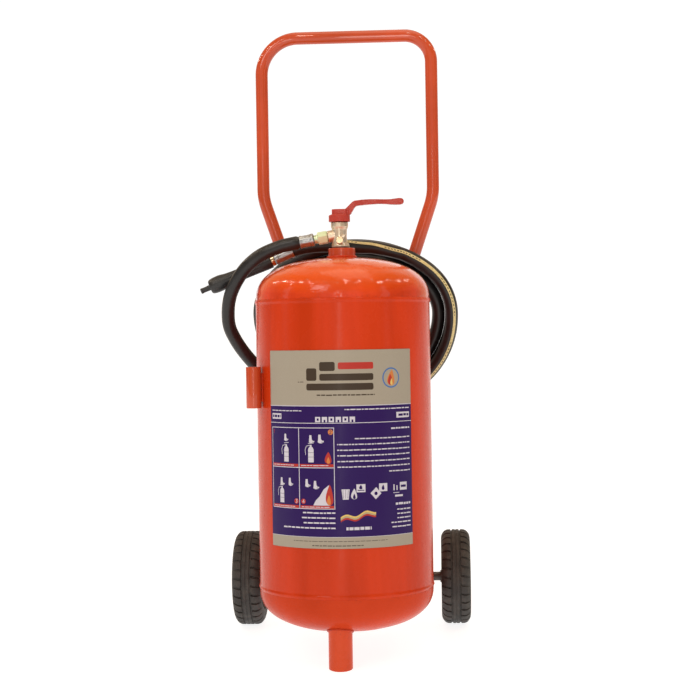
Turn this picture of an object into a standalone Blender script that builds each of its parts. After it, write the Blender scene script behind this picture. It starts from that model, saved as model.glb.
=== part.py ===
"""Wheeled dry-powder fire extinguisher, 25 kg class: a welded steel cylinder with dished heads, a
brass angle ball valve with a red lever, a coiled rubber discharge hose with its nozzle, a bent tube
push handle, a front foot tube and two solid wheels on an axle behind.

Everything is modelled in the cylinder's own frame (Z up the cylinder's axis, +Y to the rear, +X to
the right as seen from the front) and hangs on one empty, "stance", which leans the cylinder back
until the foot's cut end and both wheels stand on Z = 0. Metres."""

import math

import bmesh
import bpy
from mathutils import Matrix, Vector

# ---------------------------------------------------------------- driving dimensions (metres)
SHELL_R = 0.1400          # cylinder outside radius
SHELL_WALL = 0.0025
SEAM_LOW, SEAM_HIGH = 0.1200, 0.5830   # where the heads are welded on
HEAD_RISE = 0.0670        # height of a dished head
HEAD_POWER = 2.4          # its fullness: 2 is an ellipse
GAP = 0.0003

COLLAR_R, COLLAR_BORE_R, COLLAR_TOP = 0.0218, 0.0126, 0.6650
HEAD_HOLE_R = 0.0172

VALVE_X = -0.0030         # the valve's upper body stands this far off the neck's axis
BALL_Z, BALL_R = 0.6870, 0.0080
OUTLET_DROP = math.radians(9.7)        # the outlet points left and this far down
STEM_R = 0.0031
LEVER_LOW = 0.7074

HOSE_R = 0.0110
COIL_CX, COIL_CY, COIL_CZ = 0.0125, 0.1300, 0.5575     # centre of the wound coil
COIL_HALF_W, COIL_UP, COIL_DOWN = 0.1525, 0.1040, 0.1360
COIL_TILT = math.atan(0.298)           # its top leans forward on the dome, its bottom hangs behind

HANDLE_R, HANDLE_WALL = 0.01065, 0.0020
HANDLE_X, HANDLE_Y, HANDLE_TOP = 0.1449, 0.1480, 1.0330
HANDLE_SHIFT = 0.0030     # the handle is welded on a little right of centre
HANDLE_FOOT_X = 0.0907
HANDLE_CORNER_R, HANDLE_CORNER_LEFT = 0.0450, 0.0620     # the left bend is the wider one

WHEEL_R, WHEEL_W, WHEEL_X = 0.0800, 0.0500, 0.1770
AXLE_Y, AXLE_Z, AXLE_R = 0.1700, 0.1080, 0.0075
BRACKET_X, BRACKET_T, BRACKET_H = 0.1330, 0.0050, 0.0480

FOOT_X, FOOT_Y, FOOT_R, FOOT_WALL = -0.0060, -0.0860, 0.0190, 0.0030
HOLDER_R, HOLDER_WALL = 0.0120, 0.0020
HOLDER_BOTTOM, HOLDER_TOP = 0.4120, 0.4770
HOLDER_AZ = math.radians(26.0)         # forward of the cylinder's left side

LABEL_W, LABEL_LOW, LABEL_HIGH, LABEL_T = 0.2480, 0.1990, 0.5025, 0.0003

LEAN = math.radians(5.2)               # how far the cylinder leans back as it stands
FLOOR = AXLE_Z * math.cos(LEAN) - AXLE_Y * math.sin(LEAN) - WHEEL_R
CENTRE_Y = 0.0647                      # middle of the standing box, without the hose

# ---------------------------------------------------------------- a clean scene
for old in list(bpy.data.objects):
    bpy.data.objects.remove(old)

parts = bpy.data.collections.new("wheeled_fire_extinguisher")
helpers = bpy.data.collections.new("cutters")
bpy.context.scene.collection.children.link(parts)
bpy.context.scene.collection.children.link(helpers)

stance = bpy.data.objects.new("stance", None)
parts.objects.link(stance)
stance.rotation_euler = (-LEAN, 0, 0)
stance.location = (0, -CENTRE_Y, -FLOOR)

materials = {}


def material(name, rgb, rough, metal=0.0):
    if name not in materials:
        made = bpy.data.materials.new(name)
        made.use_nodes = True
        shader = made.node_tree.nodes["Principled BSDF"]
        shader.inputs["Base Color"].default_value = (*rgb, 1)
        shader.inputs["Roughness"].default_value = rough
        shader.inputs["Metallic"].default_value = metal
        materials[name] = made
    return materials[name]


PAINT = ("red_paint", (0.62, 0.05, 0.015), 0.25)
LEVER_RED = ("lever_enamel", (0.50, 0.03, 0.02), 0.35)
BRASS = ("brass", (0.62, 0.43, 0.25), 0.35, 1.0)
ZINC = ("yellow_zinc", (0.72, 0.62, 0.36), 0.35, 1.0)
SILVER = ("silver_zinc", (0.62, 0.61, 0.60), 0.35, 1.0)
STEEL = ("bare_steel", (0.45, 0.45, 0.46), 0.40, 1.0)
RUBBER = ("hose_rubber", (0.015, 0.014, 0.014), 0.45)
TYRE = ("tyre_rubber", (0.02, 0.019, 0.018), 0.75)
PLASTIC = ("black_plastic", (0.02, 0.02, 0.02), 0.40)
NYLON = ("nylon", (0.75, 0.73, 0.68), 0.50)
PTFE = ("ptfe", (0.85, 0.85, 0.83), 0.45)
LABEL = ("label_film", (0.10, 0.03, 0.22), 0.35)


def place(ob, colour, parent, loc=(0, 0, 0), rot=(0, 0, 0), helper=False):
    """Put an object in its collection, under its parent, with its material."""
    for had in list(ob.users_collection):
        had.objects.unlink(ob)
    (helpers if helper else parts).objects.link(ob)
    ob.parent = parent
    ob.location, ob.rotation_euler = loc, rot
    if helper:
        ob.hide_render = True
        ob.display_type = "WIRE"
    else:
        kept = material(f"{ob.name}_{colour[0]}", *colour[1:])
        ob.data.materials.clear()
        ob.data.materials.append(kept)
    return ob


def turned(name, profile, colour, parent, loc=(0, 0, 0), rot=(0, 0, 0), steps=32, ring=True, helper=False):
    """A profile of (radius, height) turned about Z. It runs down the outside; a ring's comes back up
    the inside."""
    mesh = bpy.data.meshes.new(name)
    count = len(profile)
    edges = [(i, i + 1) for i in range(count - 1)] + ([(count - 1, 0)] if ring else [])
    mesh.from_pydata([(r, 0, z) for r, z in profile], edges, [])
    ob = bpy.data.objects.new(name, mesh)
    turn = ob.modifiers.new("turn", "SCREW")
    turn.axis = "Z"
    turn.angle = 2 * math.pi
    turn.steps = turn.render_steps = steps
    turn.use_merge_vertices = True
    turn.merge_threshold = 0.00001
    turn.use_smooth_shade = True
    return place(ob, colour, parent, loc, rot, helper)


def rod(radius, low, high):
    """A solid cylinder's profile for turned(), on the axis at both ends."""
    return [(0, high), (radius, high), (radius, low), (0, low)]


def pipe(radius, bore, low, high):
    return [(radius, high), (radius, low), (bore, low), (bore, high)]


def smooth_flat(ob, angle=0.6):
    ob.data.shade_smooth()
    ob.data.set_sharp_from_angle(angle=angle)


def baked(ob):
    """The object as a plain mesh with its modifiers applied and its ends welded."""
    bpy.context.view_layer.update()
    graph = bpy.context.evaluated_depsgraph_get()
    mesh = bpy.data.meshes.new_from_object(ob.evaluated_get(graph), depsgraph=graph)
    work = bmesh.new()
    work.from_mesh(mesh)
    bmesh.ops.remove_doubles(work, verts=work.verts, dist=0.00001)
    bmesh.ops.recalc_face_normals(work, faces=work.faces)
    work.to_mesh(mesh)
    work.free()
    name, mats = ob.name, [m for m in ob.data.materials]
    new = bpy.data.objects.new(name, mesh)
    new.parent, new.location, new.rotation_euler = ob.parent, ob.location, ob.rotation_euler
    helper = ob.hide_render
    for home in ob.users_collection:
        home.objects.link(new)
    bpy.data.objects.remove(ob)
    new.name = name
    new.data.materials.clear()
    for m in mats:
        new.data.materials.append(m)
    if helper:
        new.hide_render, new.display_type = True, "WIRE"
    else:
        smooth_flat(new)
    bpy.context.view_layer.update()
    return new


def combine(ob, other, operation):
    step = ob.modifiers.new(f"{operation.lower()}_{other.name}"[:40], "BOOLEAN")
    step.operation = operation
    step.solver = "EXACT"
    step.object = other
    return ob


def tube(name, points, radius, colour, parent, sides=3, caps=True, cyclic=False):
    """A round tube along points. sides is the bevel resolution: 3 gives 10 sides."""
    curve = bpy.data.curves.new(name, "CURVE")
    curve.dimensions = "3D"
    curve.bevel_depth = radius
    curve.bevel_resolution = sides
    curve.use_fill_caps = caps
    line = curve.splines.new("POLY")
    line.points.add(len(points) - 1)
    for point, at in zip(line.points, points):
        point.co = (*at, 1)
    line.use_cyclic_u = cyclic
    line.use_smooth = True
    return place(bpy.data.objects.new(name, curve), colour, parent)


def plate(name, outline, thick, colour, parent, loc=(0, 0, 0), rot=(0, 0, 0), bevel=0.0, helper=False):
    """A flat outline extruded by thick, centred on its plane."""
    curve = bpy.data.curves.new(name, "CURVE")
    curve.dimensions = "2D"
    curve.fill_mode = "BOTH"
    curve.extrude = thick / 2
    line = curve.splines.new("POLY")
    line.points.add(len(outline) - 1)
    for point, (x, y) in zip(line.points, outline):
        point.co = (x, y, 0, 1)
    line.use_cyclic_u = True
    ob = place(bpy.data.objects.new(name, curve), colour, parent, loc, rot, helper)
    ob = baked(ob)
    if bevel:
        soft = ob.modifiers.new("soft_edge", "BEVEL")
        soft.width = bevel
        soft.segments = 1
        soft.limit_method = "ANGLE"
        soft.angle_limit = math.radians(40)
    return ob


def cube(name, size, colour, parent, loc=(0, 0, 0), rot=(0, 0, 0), bevel=0.0, helper=False):
    work = bmesh.new()
    bmesh.ops.create_cube(work, size=1.0, matrix=Matrix.Diagonal((*size, 1)))
    mesh = bpy.data.meshes.new(name)
    work.to_mesh(mesh)
    work.free()
    ob = place(bpy.data.objects.new(name, mesh), colour, parent, loc, rot, helper)
    if bevel:
        soft = ob.modifiers.new("soft_edge", "BEVEL")
        soft.width = bevel
        soft.segments = 1
    return ob


def prism(name, across_flats, low, high, colour, parent, loc=(0, 0, 0), rot=(0, 0, 0), sides=6, bore=0.0, helper=False):
    """A hexagon nut's blank with chamfered corners, along Z, with a bore if asked."""
    work = bmesh.new()
    corner = across_flats / 2 / math.cos(math.pi / sides)
    bmesh.ops.create_cone(work, cap_ends=True, segments=sides, radius1=corner, radius2=corner, depth=high - low,
                          matrix=Matrix.Translation((0, 0, (high + low) / 2)))
    mesh = bpy.data.meshes.new(name)
    work.to_mesh(mesh)
    work.free()
    ob = place(bpy.data.objects.new(name, mesh), colour, parent, loc, rot, helper)
    if bore:
        cutter = turned(name + "_bore", rod(bore, low - 0.002, high + 0.002), colour, parent, loc, rot, 20, False, True)
        combine(ob, cutter, "DIFFERENCE")
    return ob


def head_height(radius, outside=SHELL_R, rise=HEAD_RISE):
    """How far the dished head stands above its seam at this radius."""
    return rise * max(0.0, 1 - (radius / outside) ** HEAD_POWER) ** (1 / HEAD_POWER)


def smooth_line(route, spacing):
    """Points about spacing apart along a Catmull-Rom curve through the route's points."""
    ends = [2 * route[0] - route[1], *route, 2 * route[-1] - route[-2]]
    fine = []
    for a, b, c, d in zip(ends, ends[1:], ends[2:], ends[3:]):
        for k in range(24):
            t = k / 24
            fine.append(0.5 * (2 * b + (c - a) * t + (2 * a - 5 * b + 4 * c - d) * t * t + (3 * b - a - 3 * c + d) * t ** 3))
    fine.append(route[-1].copy())
    run = [0.0]
    for a, b in zip(fine, fine[1:]):
        run.append(run[-1] + (b - a).length)
    count = max(2, round(run[-1] / spacing))
    out, j = [], 0
    for k in range(count + 1):
        want = run[-1] * k / count
        while j < len(run) - 2 and run[j + 1] < want:
            j += 1
        share = (want - run[j]) / max(1e-9, run[j + 1] - run[j])
        out.append(fine[j].lerp(fine[j + 1], min(1.0, share)))
    return out


# ---------------------------------------------------------------- pressure vessel
BEAD = 0.0012
barrel = turned("barrel", [
    (SHELL_R - 0.0004, SEAM_HIGH - GAP / 2), (SHELL_R + BEAD, SEAM_HIGH - 0.0022), (SHELL_R + BEAD, SEAM_HIGH - 0.0050),
    (SHELL_R, SEAM_HIGH - 0.0075), (SHELL_R, SEAM_LOW + 0.0075), (SHELL_R + BEAD, SEAM_LOW + 0.0050),
    (SHELL_R + BEAD, SEAM_LOW + 0.0022), (SHELL_R - 0.0004, SEAM_LOW + GAP / 2),
    (SHELL_R - SHELL_WALL, SEAM_LOW + GAP / 2), (SHELL_R - SHELL_WALL, SEAM_HIGH - GAP / 2),
], PAINT, stance, steps=40)


HEAD_SHARES = (0, 0.22, 0.42, 0.60, 0.75, 0.88, 0.96, 1.0)


def head_profile(hole, up):
    """A dished head as a ring round a hole, or closed at the middle where hole is 0. up is 1 for the
    top head and -1 for the bottom one."""
    seam = SEAM_HIGH + GAP / 2 if up > 0 else SEAM_LOW - GAP / 2
    outer = [hole + (SHELL_R - hole) * math.sin(s * math.pi / 2) for s in HEAD_SHARES]
    inner_r, inner_rise = SHELL_R - SHELL_WALL, HEAD_RISE - SHELL_WALL
    inner = [hole + (inner_r - hole) * math.sin(s * math.pi / 2) for s in HEAD_SHARES]
    top = [(r, seam + up * head_height(r)) for r in outer]
    low = [(r, seam + up * head_height(r, inner_r, inner_rise)) for r in reversed(inner)]
    line = top + low
    return line if up > 0 else line[::-1]


turned("top_head", head_profile(HEAD_HOLE_R, 1), PAINT, stance, steps=32)
turned("bottom_head", head_profile(0.0, -1), PAINT, stance, steps=32, ring=False)

turned("neck_collar", [
    (COLLAR_R - 0.0010, COLLAR_TOP), (COLLAR_R, COLLAR_TOP - 0.0010), (COLLAR_R, 0.6506),
    (HEAD_HOLE_R - 0.0004, 0.6506), (HEAD_HOLE_R - 0.0004, 0.6420), (COLLAR_BORE_R, 0.6420), (COLLAR_BORE_R, COLLAR_TOP),
], PAINT, stance, steps=24)
turned("neck_gasket", pipe(0.0140, 0.0124, COLLAR_TOP + GAP, COLLAR_TOP + 0.0017), RUBBER, stance, steps=20)
turned("siphon_tube", pipe(0.0064, 0.0052, 0.0750, 0.6615), PTFE, stance, steps=16)

# ---------------------------------------------------------------- valve
# The outlet's own frame: its Z points out along the outlet, from the ball's centre.
ball_at = Vector((VALVE_X, 0, BALL_Z))
outlet = Vector((-math.cos(OUTLET_DROP), 0, -math.sin(OUTLET_DROP)))
outlet_rot = outlet.to_track_quat("Z", "Y").to_euler()


def along(s):
    return ball_at + outlet * s


body = turned("valve_body", [
    (0, 0.7070), (0.0132, 0.7070), (0.0140, 0.7062), (0.0140, 0.6995), (0.0118, 0.6945), (0.0114, 0.6840),
    (0.0122, 0.6740), (0.0128, 0.6720), (0.0128, 0.6685), (0, 0.6685),
], BRASS, stance, loc=(VALVE_X, 0, 0), steps=20, ring=False)
body_stub = turned("valve_body_stub", rod(COLLAR_BORE_R - GAP, 0.6430, 0.6665) , BRASS, stance, steps=20, ring=False, helper=True)
body_foot = turned("valve_body_flange", rod(0.0146, 0.6670, 0.6700), BRASS, stance, loc=(VALVE_X / 2, 0, 0), steps=20, ring=False, helper=True)
body_join = turned("valve_body_neck", rod(0.0119, 0.6600, 0.6730), BRASS, stance, loc=(0, 0, 0), steps=20, ring=False, helper=True)
boss = turned("valve_body_boss", [(0, 0.0190), (0.0092, 0.0190), (0.0098, 0.0184), (0.0098, 0), (0, 0)], BRASS, stance,
              loc=ball_at, rot=outlet_rot, steps=20, ring=False, helper=True)
front = Vector((0, -1, 0)).to_track_quat("Z", "Y").to_euler()
RELIEF_Z = 0.6772
relief_boss = turned("valve_body_relief", rod(0.0064, 0, 0.0135), BRASS, stance, loc=(VALVE_X + 0.001, 0, RELIEF_Z), rot=front,
                     steps=16, ring=False, helper=True)
for piece in (body_foot, body_join, body_stub, boss, relief_boss):
    combine(body, piece, "UNION")
chamber = turned("cut_chamber", [(0, 0.0250), (0.0084, 0.0250)] + [
    (0.0088 * math.cos(a), -0.0088 * math.sin(a)) for a in (0, math.pi / 6, math.pi / 3)] + [(0, -0.0088)],
    BRASS, stance, loc=ball_at, rot=outlet_rot, steps=20, ring=False, helper=True)
inlet = turned("cut_inlet", rod(0.0042, 0.6580, 0.6880), BRASS, stance, loc=(VALVE_X, 0, 0), steps=16, ring=False, helper=True)
socket = turned("cut_socket", rod(0.0068, 0.6300, 0.6622), BRASS, stance, steps=16, ring=False, helper=True)
pocket = turned("cut_seat_pocket", rod(0.0057, 0.6762, 0.6850), BRASS, stance, loc=(VALVE_X, 0, 0), steps=20, ring=False, helper=True)
stem_hole = turned("cut_stem", rod(STEM_R + 0.0003, 0.6900, 0.7200), BRASS, stance, loc=(VALVE_X, 0, 0), steps=16, ring=False, helper=True)
packing_hole = turned("cut_packing", rod(0.0068, 0.7000, 0.7200), BRASS, stance, loc=(VALVE_X, 0, 0), steps=20, ring=False, helper=True)
relief_hole = turned("cut_relief", rod(0.0032, 0.0020, 0.0200), BRASS, stance, loc=(VALVE_X + 0.001, 0, RELIEF_Z - 0.0030), rot=front,
                     steps=12, ring=False, helper=True)
for cutter in (chamber, inlet, socket, pocket, stem_hole, packing_hole, relief_hole):
    combine(body, cutter, "DIFFERENCE")

turned("inlet_seat", pipe(0.0054, 0.0043, 0.6765, 0.6797), PTFE, stance, loc=(VALVE_X, 0, 0), steps=16)
turned("outlet_seat", pipe(0.0081, 0.0046, 0.0073, 0.0100), PTFE, stance, loc=ball_at, rot=outlet_rot, steps=16)
turned("outlet_nipple", [(0.0081, 0.0103), (0.0081, 0.0188), (0.0078, 0.0192), (0.0078, 0.0310), (0.0045, 0.0310), (0.0045, 0.0103)][::-1],
       BRASS, stance, loc=ball_at, rot=outlet_rot, steps=16)
turned("stem_packing", pipe(0.0065, STEM_R + 0.0003, 0.7003, 0.7033), PTFE, stance, loc=(VALVE_X, 0, 0), steps=16)
turned("gland_nut", pipe(0.0065, STEM_R + 0.0003, 0.7036, 0.7068), BRASS, stance, loc=(VALVE_X, 0, 0), steps=16)
prism("relief_plug", 0.0105, 0.0138, 0.0180, BRASS, stance, loc=(VALVE_X + 0.001, 0, RELIEF_Z), rot=front)
plug_shank = turned("relief_plug_shank", rod(0.0028, 0.0075, 0.0150), BRASS, stance, loc=(VALVE_X + 0.001, 0, RELIEF_Z - 0.0030), rot=front,
                    steps=12, ring=False, helper=True)
combine(bpy.data.objects["relief_plug"], plug_shank, "UNION")

# The lever, stem and ball turn together about the stem's axis.
lever_axis = bpy.data.objects.new("lever_axis", None)
parts.objects.link(lever_axis)
lever_axis.parent = stance
lever_axis.location = (VALVE_X, 0, BALL_Z)

work = bmesh.new()
bmesh.ops.create_uvsphere(work, u_segments=16, v_segments=10, radius=BALL_R)
ball_mesh = bpy.data.meshes.new("valve_ball")
work.to_mesh(ball_mesh)
work.free()
ball = place(bpy.data.objects.new("valve_ball", ball_mesh), STEEL, lever_axis)
down_bore = turned("cut_ball_down", rod(0.0040, -0.0120, 0.0012), STEEL, lever_axis, steps=12, ring=False, helper=True)
side_bore = turned("cut_ball_side", rod(0.0040, -0.0012, 0.0120), STEEL, lever_axis, rot=front, steps=12, ring=False, helper=True)
slot = cube("cut_ball_slot", (0.0200, 0.0024, 0.0060), STEEL, lever_axis, loc=(0, 0, 0.0086), helper=True)
for cutter in (down_bore, side_bore, slot):
    combine(ball, cutter, "DIFFERENCE")

z = BALL_Z
stem = turned("valve_stem", [(0, 0.7240 - z), (STEM_R - 0.0004, 0.7240 - z), (STEM_R, 0.7236 - z), (STEM_R, 0.0084), (0, 0.0084)],
              STEEL, lever_axis, steps=16, ring=False)
tang = cube("valve_stem_tang", (0.0054, 0.0017, 0.0032), STEEL, lever_axis, loc=(0, 0, 0.0075), helper=True)
combine(stem, tang, "UNION")

cap = turned("lever", [
    (0, 0.7230 - z), (0.0160, 0.7190 - z), (0.0174, 0.7180 - z), (0.0174, LEVER_LOW - z), (0, LEVER_LOW - z),
], LEVER_RED, lever_axis, steps=24, ring=False)
upper = cube("lever_upper_tier", (0.0270, 0.0230, 0.0100), LEVER_RED, lever_axis, loc=(0.0018, 0, 0.7227 - z), bevel=0.002, helper=True)
arm = plate("lever_arm", [(x / 1000, zz / 1000 - z) for x, zz in (
    (8.0, 720.0), (8.5, 727.4), (22.0, 739.6), (27.0, 741.2), (49.0, 742.9), (67.0, 742.4), (83.0, 742.2), (96.5, 743.9),
    (102.5, 743.0), (104.6, 739.2), (102.8, 734.9), (98.0, 733.3), (82.0, 733.8), (70.0, 735.2), (53.0, 734.8),
    (28.0, 732.9), (24.0, 729.5), (18.6, 719.0))], 0.0130, LEVER_RED, lever_axis,
    rot=(math.pi / 2, 0, 0), bevel=0.0015, helper=True)
lever_bore = turned("cut_lever_bore", rod(STEM_R + 0.0003, -0.01, 0.06), LEVER_RED, lever_axis, steps=16, ring=False, helper=True)
lever_sink = turned("cut_lever_sink", rod(0.0062, 0.7243 - z, 0.7400 - z), LEVER_RED, lever_axis, steps=16, ring=False, helper=True)
combine(combine(cap, upper, "UNION"), arm, "UNION")
combine(combine(cap, lever_bore, "DIFFERENCE"), lever_sink, "DIFFERENCE")
prism("lever_nut", 0.0095, 0.7246 - z, 0.7272 - z, SILVER, lever_axis)

# ---------------------------------------------------------------- outlet fittings
prism("swivel_nut", 0.0185, 0.0195, 0.0358, ZINC, stance, loc=ball_at, rot=outlet_rot, bore=0.0075)
nut_bore = turned("cut_nut_thread", rod(0.0084, 0.0150, 0.0340), ZINC, stance, loc=ball_at, rot=outlet_rot, steps=20, ring=False, helper=True)
combine(bpy.data.objects["swivel_nut"], nut_bore, "DIFFERENCE")
turned("hose_tailpiece", [
    (0.0050, 0.0620), (0.0050, 0.0424), (0.0071, 0.0414), (0.0071, 0.0338), (0.0080, 0.0336), (0.0080, 0.0313),
    (0.0040, 0.0313), (0.0040, 0.0620)], ZINC, stance, loc=ball_at, rot=outlet_rot, steps=16)
turned("hose_ferrule", [
    (0.0096, 0.0653), (0.0102, 0.0645), (0.0102, 0.0600), (0.0097, 0.0590), (0.0097, 0.0480), (0.0102, 0.0470),
    (0.0102, 0.0428), (0.0092, 0.0420), (0.0074, 0.0420), (0.0074, 0.0445), (0.0083, 0.0445), (0.0083, 0.0653)],
    SILVER, stance, loc=ball_at, rot=outlet_rot, steps=16)

# ---------------------------------------------------------------- hose
up_plane = Vector((0, -math.sin(COIL_TILT), math.cos(COIL_TILT)))
back_plane = Vector((0, math.cos(COIL_TILT), math.sin(COIL_TILT)))
coil_centre = Vector((COIL_CX, COIL_CY, COIL_CZ))


def coil_uv(angle):
    """The coil's middle line in its own plane. The angle runs from the top to the left, as the hose
    is wound."""
    reach = COIL_UP if math.cos(angle) > 0 else COIL_DOWN
    return -COIL_HALF_W * math.sin(angle), reach / math.cos(COIL_TILT) * math.cos(angle)


def coil_point(angle, out, back):
    u, v = coil_uv(angle)
    reach = (COIL_UP if math.cos(angle) > 0 else COIL_DOWN) / math.cos(COIL_TILT)
    normal = Vector((u / COIL_HALF_W ** 2, v / reach ** 2)).normalized()
    u, v = u + out * normal.x, v + out * normal.y
    return coil_centre + Vector((u, 0, 0)) + up_plane * v + back_plane * back


# The wound coil's outer shape: the section that holds three strands, swept round its middle line.
section = []
for cx, cy, first, last in ((0.011, -0.011, -90, 0), (0.011, 0.011, 0, 90), (-0.011, 0.011, 90, 225)):
    for k in range(3):
        a = math.radians(first + (last - first) * k / 2)
        section.append((cx + HOSE_R * math.cos(a), cy + HOSE_R * math.sin(a)))
strand = bpy.data.curves.new("coil_section", "CURVE")
strand.dimensions = "2D"
strand.fill_mode = "NONE"
loop = strand.splines.new("POLY")
loop.points.add(len(section) - 1)
for point, (out, back) in zip(loop.points, section):
    point.co = (-out, -back, 0, 1)
loop.use_cyclic_u = True
strand_ob = bpy.data.objects.new("coil_section", strand)
place(strand_ob, RUBBER, stance, helper=True)
ring_curve = bpy.data.curves.new("hose_coil", "CURVE")
ring_curve.dimensions = "2D"
ring_curve.fill_mode = "NONE"
ring_curve.bevel_mode = "OBJECT"
ring_curve.bevel_object = strand_ob
around = ring_curve.splines.new("POLY")
COIL_STEPS = 32
around.points.add(COIL_STEPS - 1)
for k, point in enumerate(around.points):
    u, v = coil_uv(-2 * math.pi * k / COIL_STEPS)
    point.co = (u, v, 0, 1)
around.use_cyclic_u = True
coil = place(bpy.data.objects.new("hose_coil", ring_curve), RUBBER, stance, loc=coil_centre, rot=(math.pi / 2 + COIL_TILT, 0, 0))
coil = baked(coil)

# The lead: from the ferrule out to the left, down and round behind the cylinder, to the coil's back.
lead_route = [along(0.0690), along(0.0780)] + [Vector(p) for p in (
    (-0.1004, 0.0030, 0.6695), (-0.1310, 0.0080, 0.6575), (-0.1555, 0.0160, 0.6396), (-0.1738, 0.0260, 0.6175),
    (-0.1868, 0.0380, 0.5935), (-0.1927, 0.0500, 0.5690), (-0.1930, 0.0620, 0.5440), (-0.1862, 0.0740, 0.5235),
    (-0.1745, 0.0870, 0.5020), (-0.1595, 0.1045, 0.4805), (-0.1430, 0.1250, 0.4590))]
for angle, out, back in ((132, 0.0370, -0.0180), (140, 0.0360, -0.0060), (148, 0.0350, 0.0020), (155, 0.0342, 0.0060)):
    lead_route.append(coil_point(math.radians(angle), out, back))
tube("hose_lead", [along(0.0656)] + smooth_line(lead_route, 0.026), HOSE_R, RUBBER, stance, sides=2)

# The tail: the last strand leaves the coil's front over the dome, for the nozzle's ferrule.
NOZZLE_AT = Vector((-0.0845, 0.0600, 0.6650))
nozzle = Vector((-0.1560, 0.0000, -0.0645)).normalized()
nozzle_rot = nozzle.to_track_quat("Z", "Y").to_euler()
tail_route = [Vector(p) for p in ((0.0250, 0.0626, 0.6700), (-0.0100, 0.0612, 0.6726), (-0.0400, 0.0600, 0.6730), (-0.0640, 0.0600, 0.6708))]
tail_route.append(NOZZLE_AT - nozzle * 0.0060)
tube("hose_tail", smooth_line(tail_route, 0.018) + [NOZZLE_AT - nozzle * 0.0003], HOSE_R, RUBBER, stance, sides=2)

turned("nozzle_ferrule", [
    (0.0092, 0.0330), (0.0102, 0.0320), (0.0102, 0.0270), (0.0097, 0.0260), (0.0097, 0.0070), (0.0102, 0.0060),
    (0.0102, 0.0006), (0.0097, 0), (0.0083, 0), (0.0083, 0.0300), (0.0074, 0.0300), (0.0074, 0.0330)],
    SILVER, stance, loc=NOZZLE_AT, rot=nozzle_rot, steps=16)
turned("nozzle_tailpiece", [
    (0.0055, 0.0480), (0.0055, 0.0395), (0.0100, 0.0393), (0.0100, 0.0337), (0.0071, 0.0335), (0.0071, 0.0296), (0.0050, 0.0290), (0.0050, 0.0100),
    (0.0038, 0.0100), (0.0038, 0.0480)], BRASS, stance, loc=NOZZLE_AT, rot=nozzle_rot, steps=16)
turned("nozzle_body", [
    (0.0098, 0.1500), (0.0122, 0.1470), (0.0134, 0.1390), (0.0134, 0.1310), (0.0116, 0.1200), (0.0104, 0.0960), (0.0108, 0.0620),
    (0.0118, 0.0480), (0.0118, 0.0400), (0.0100, 0.0396), (0.0058, 0.0396), (0.0058, 0.0500), (0.0042, 0.0520), (0.0042, 0.1440), (0.0058, 0.1440), (0.0058, 0.1500)],
    PLASTIC, stance, loc=NOZZLE_AT, rot=nozzle_rot, steps=16)
turned("nozzle_tip", [
    (0.0040, 0.1670), (0.0046, 0.1662), (0.0046, 0.1503), (0.0054, 0.1503), (0.0054, 0.1444), (0.0030, 0.1444), (0.0030, 0.1670)],
    PLASTIC, stance, loc=NOZZLE_AT, rot=nozzle_rot, steps=12)

# ---------------------------------------------------------------- push handle, one bent tube
leg_y = math.sqrt((SHELL_R + BEAD + GAP + HANDLE_R) ** 2 - (HANDLE_FOOT_X - HANDLE_SHIFT) ** 2)


def rounded(corners, radii, steps):
    """A line through corners with each inner one turned into an arc's worth of points."""
    out = [corners[0]]
    for before, corner, after, radius, count in zip(corners, corners[1:], corners[2:], radii, steps):
        a, b = (before - corner).normalized(), (after - corner).normalized()
        half = a.angle(b) / 2
        reach = radius / math.tan(half)
        p, q = corner + a * reach, corner + b * reach
        middle = corner + (a + b).normalized() * (radius / math.sin(half))
        for k in range(count + 1):
            mix = (p - middle).lerp(q - middle, k / count)
            out.append(middle + mix.normalized() * radius)
    return out + [corners[-1]]


bar_corners = [
    Vector((HANDLE_FOOT_X, leg_y, 0.3500)), Vector((HANDLE_FOOT_X, leg_y, 0.5300)), Vector((HANDLE_FOOT_X, HANDLE_Y, 0.6000)),
    Vector((HANDLE_X, HANDLE_Y, 0.7600)), Vector((HANDLE_X, HANDLE_Y, HANDLE_TOP)), Vector((0.02, HANDLE_Y, HANDLE_TOP)),
]
half = rounded(bar_corners, [0.10, 0.08, 0.10, HANDLE_CORNER_R], [2, 2, 3, 5])
left_half = [Vector((-p.x, p.y, p.z)) for p in reversed(rounded(bar_corners, [0.10, 0.08, 0.10, HANDLE_CORNER_LEFT], [2, 2, 3, 6]))]
handle_line = [p + Vector((HANDLE_SHIFT, 0, 0)) for p in half + left_half]
handle = tube("handle_frame", handle_line, HANDLE_R - HANDLE_WALL, PAINT, stance, sides=2, caps=False)
wall = handle.modifiers.new("wall", "SOLIDIFY")
wall.thickness = HANDLE_WALL
wall.offset = 1.0
wall.use_rim = True

# ---------------------------------------------------------------- foot, axle and wheels
foot = turned("foot_tube", pipe(FOOT_R, FOOT_R - FOOT_WALL, -0.0200, 0.1000), PAINT, stance, loc=(FOOT_X, FOOT_Y, 0), steps=24)
head_cut = turned("cut_head", [(0, 0.1500), (SHELL_R + GAP, 0.1500)] + [
    (r, SEAM_LOW - 2 * GAP - head_height(r)) for r in (SHELL_R * math.sin(s * math.pi / 2) for s in reversed(HEAD_SHARES))],
    PAINT, stance, steps=32, ring=False, helper=True)
floor_cut = cube("cut_floor", (0.4, 0.4, 0.1), PAINT, None, loc=(0, -0.1, -0.05), helper=True)
combine(combine(foot, head_cut, "DIFFERENCE"), floor_cut, "DIFFERENCE")

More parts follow.
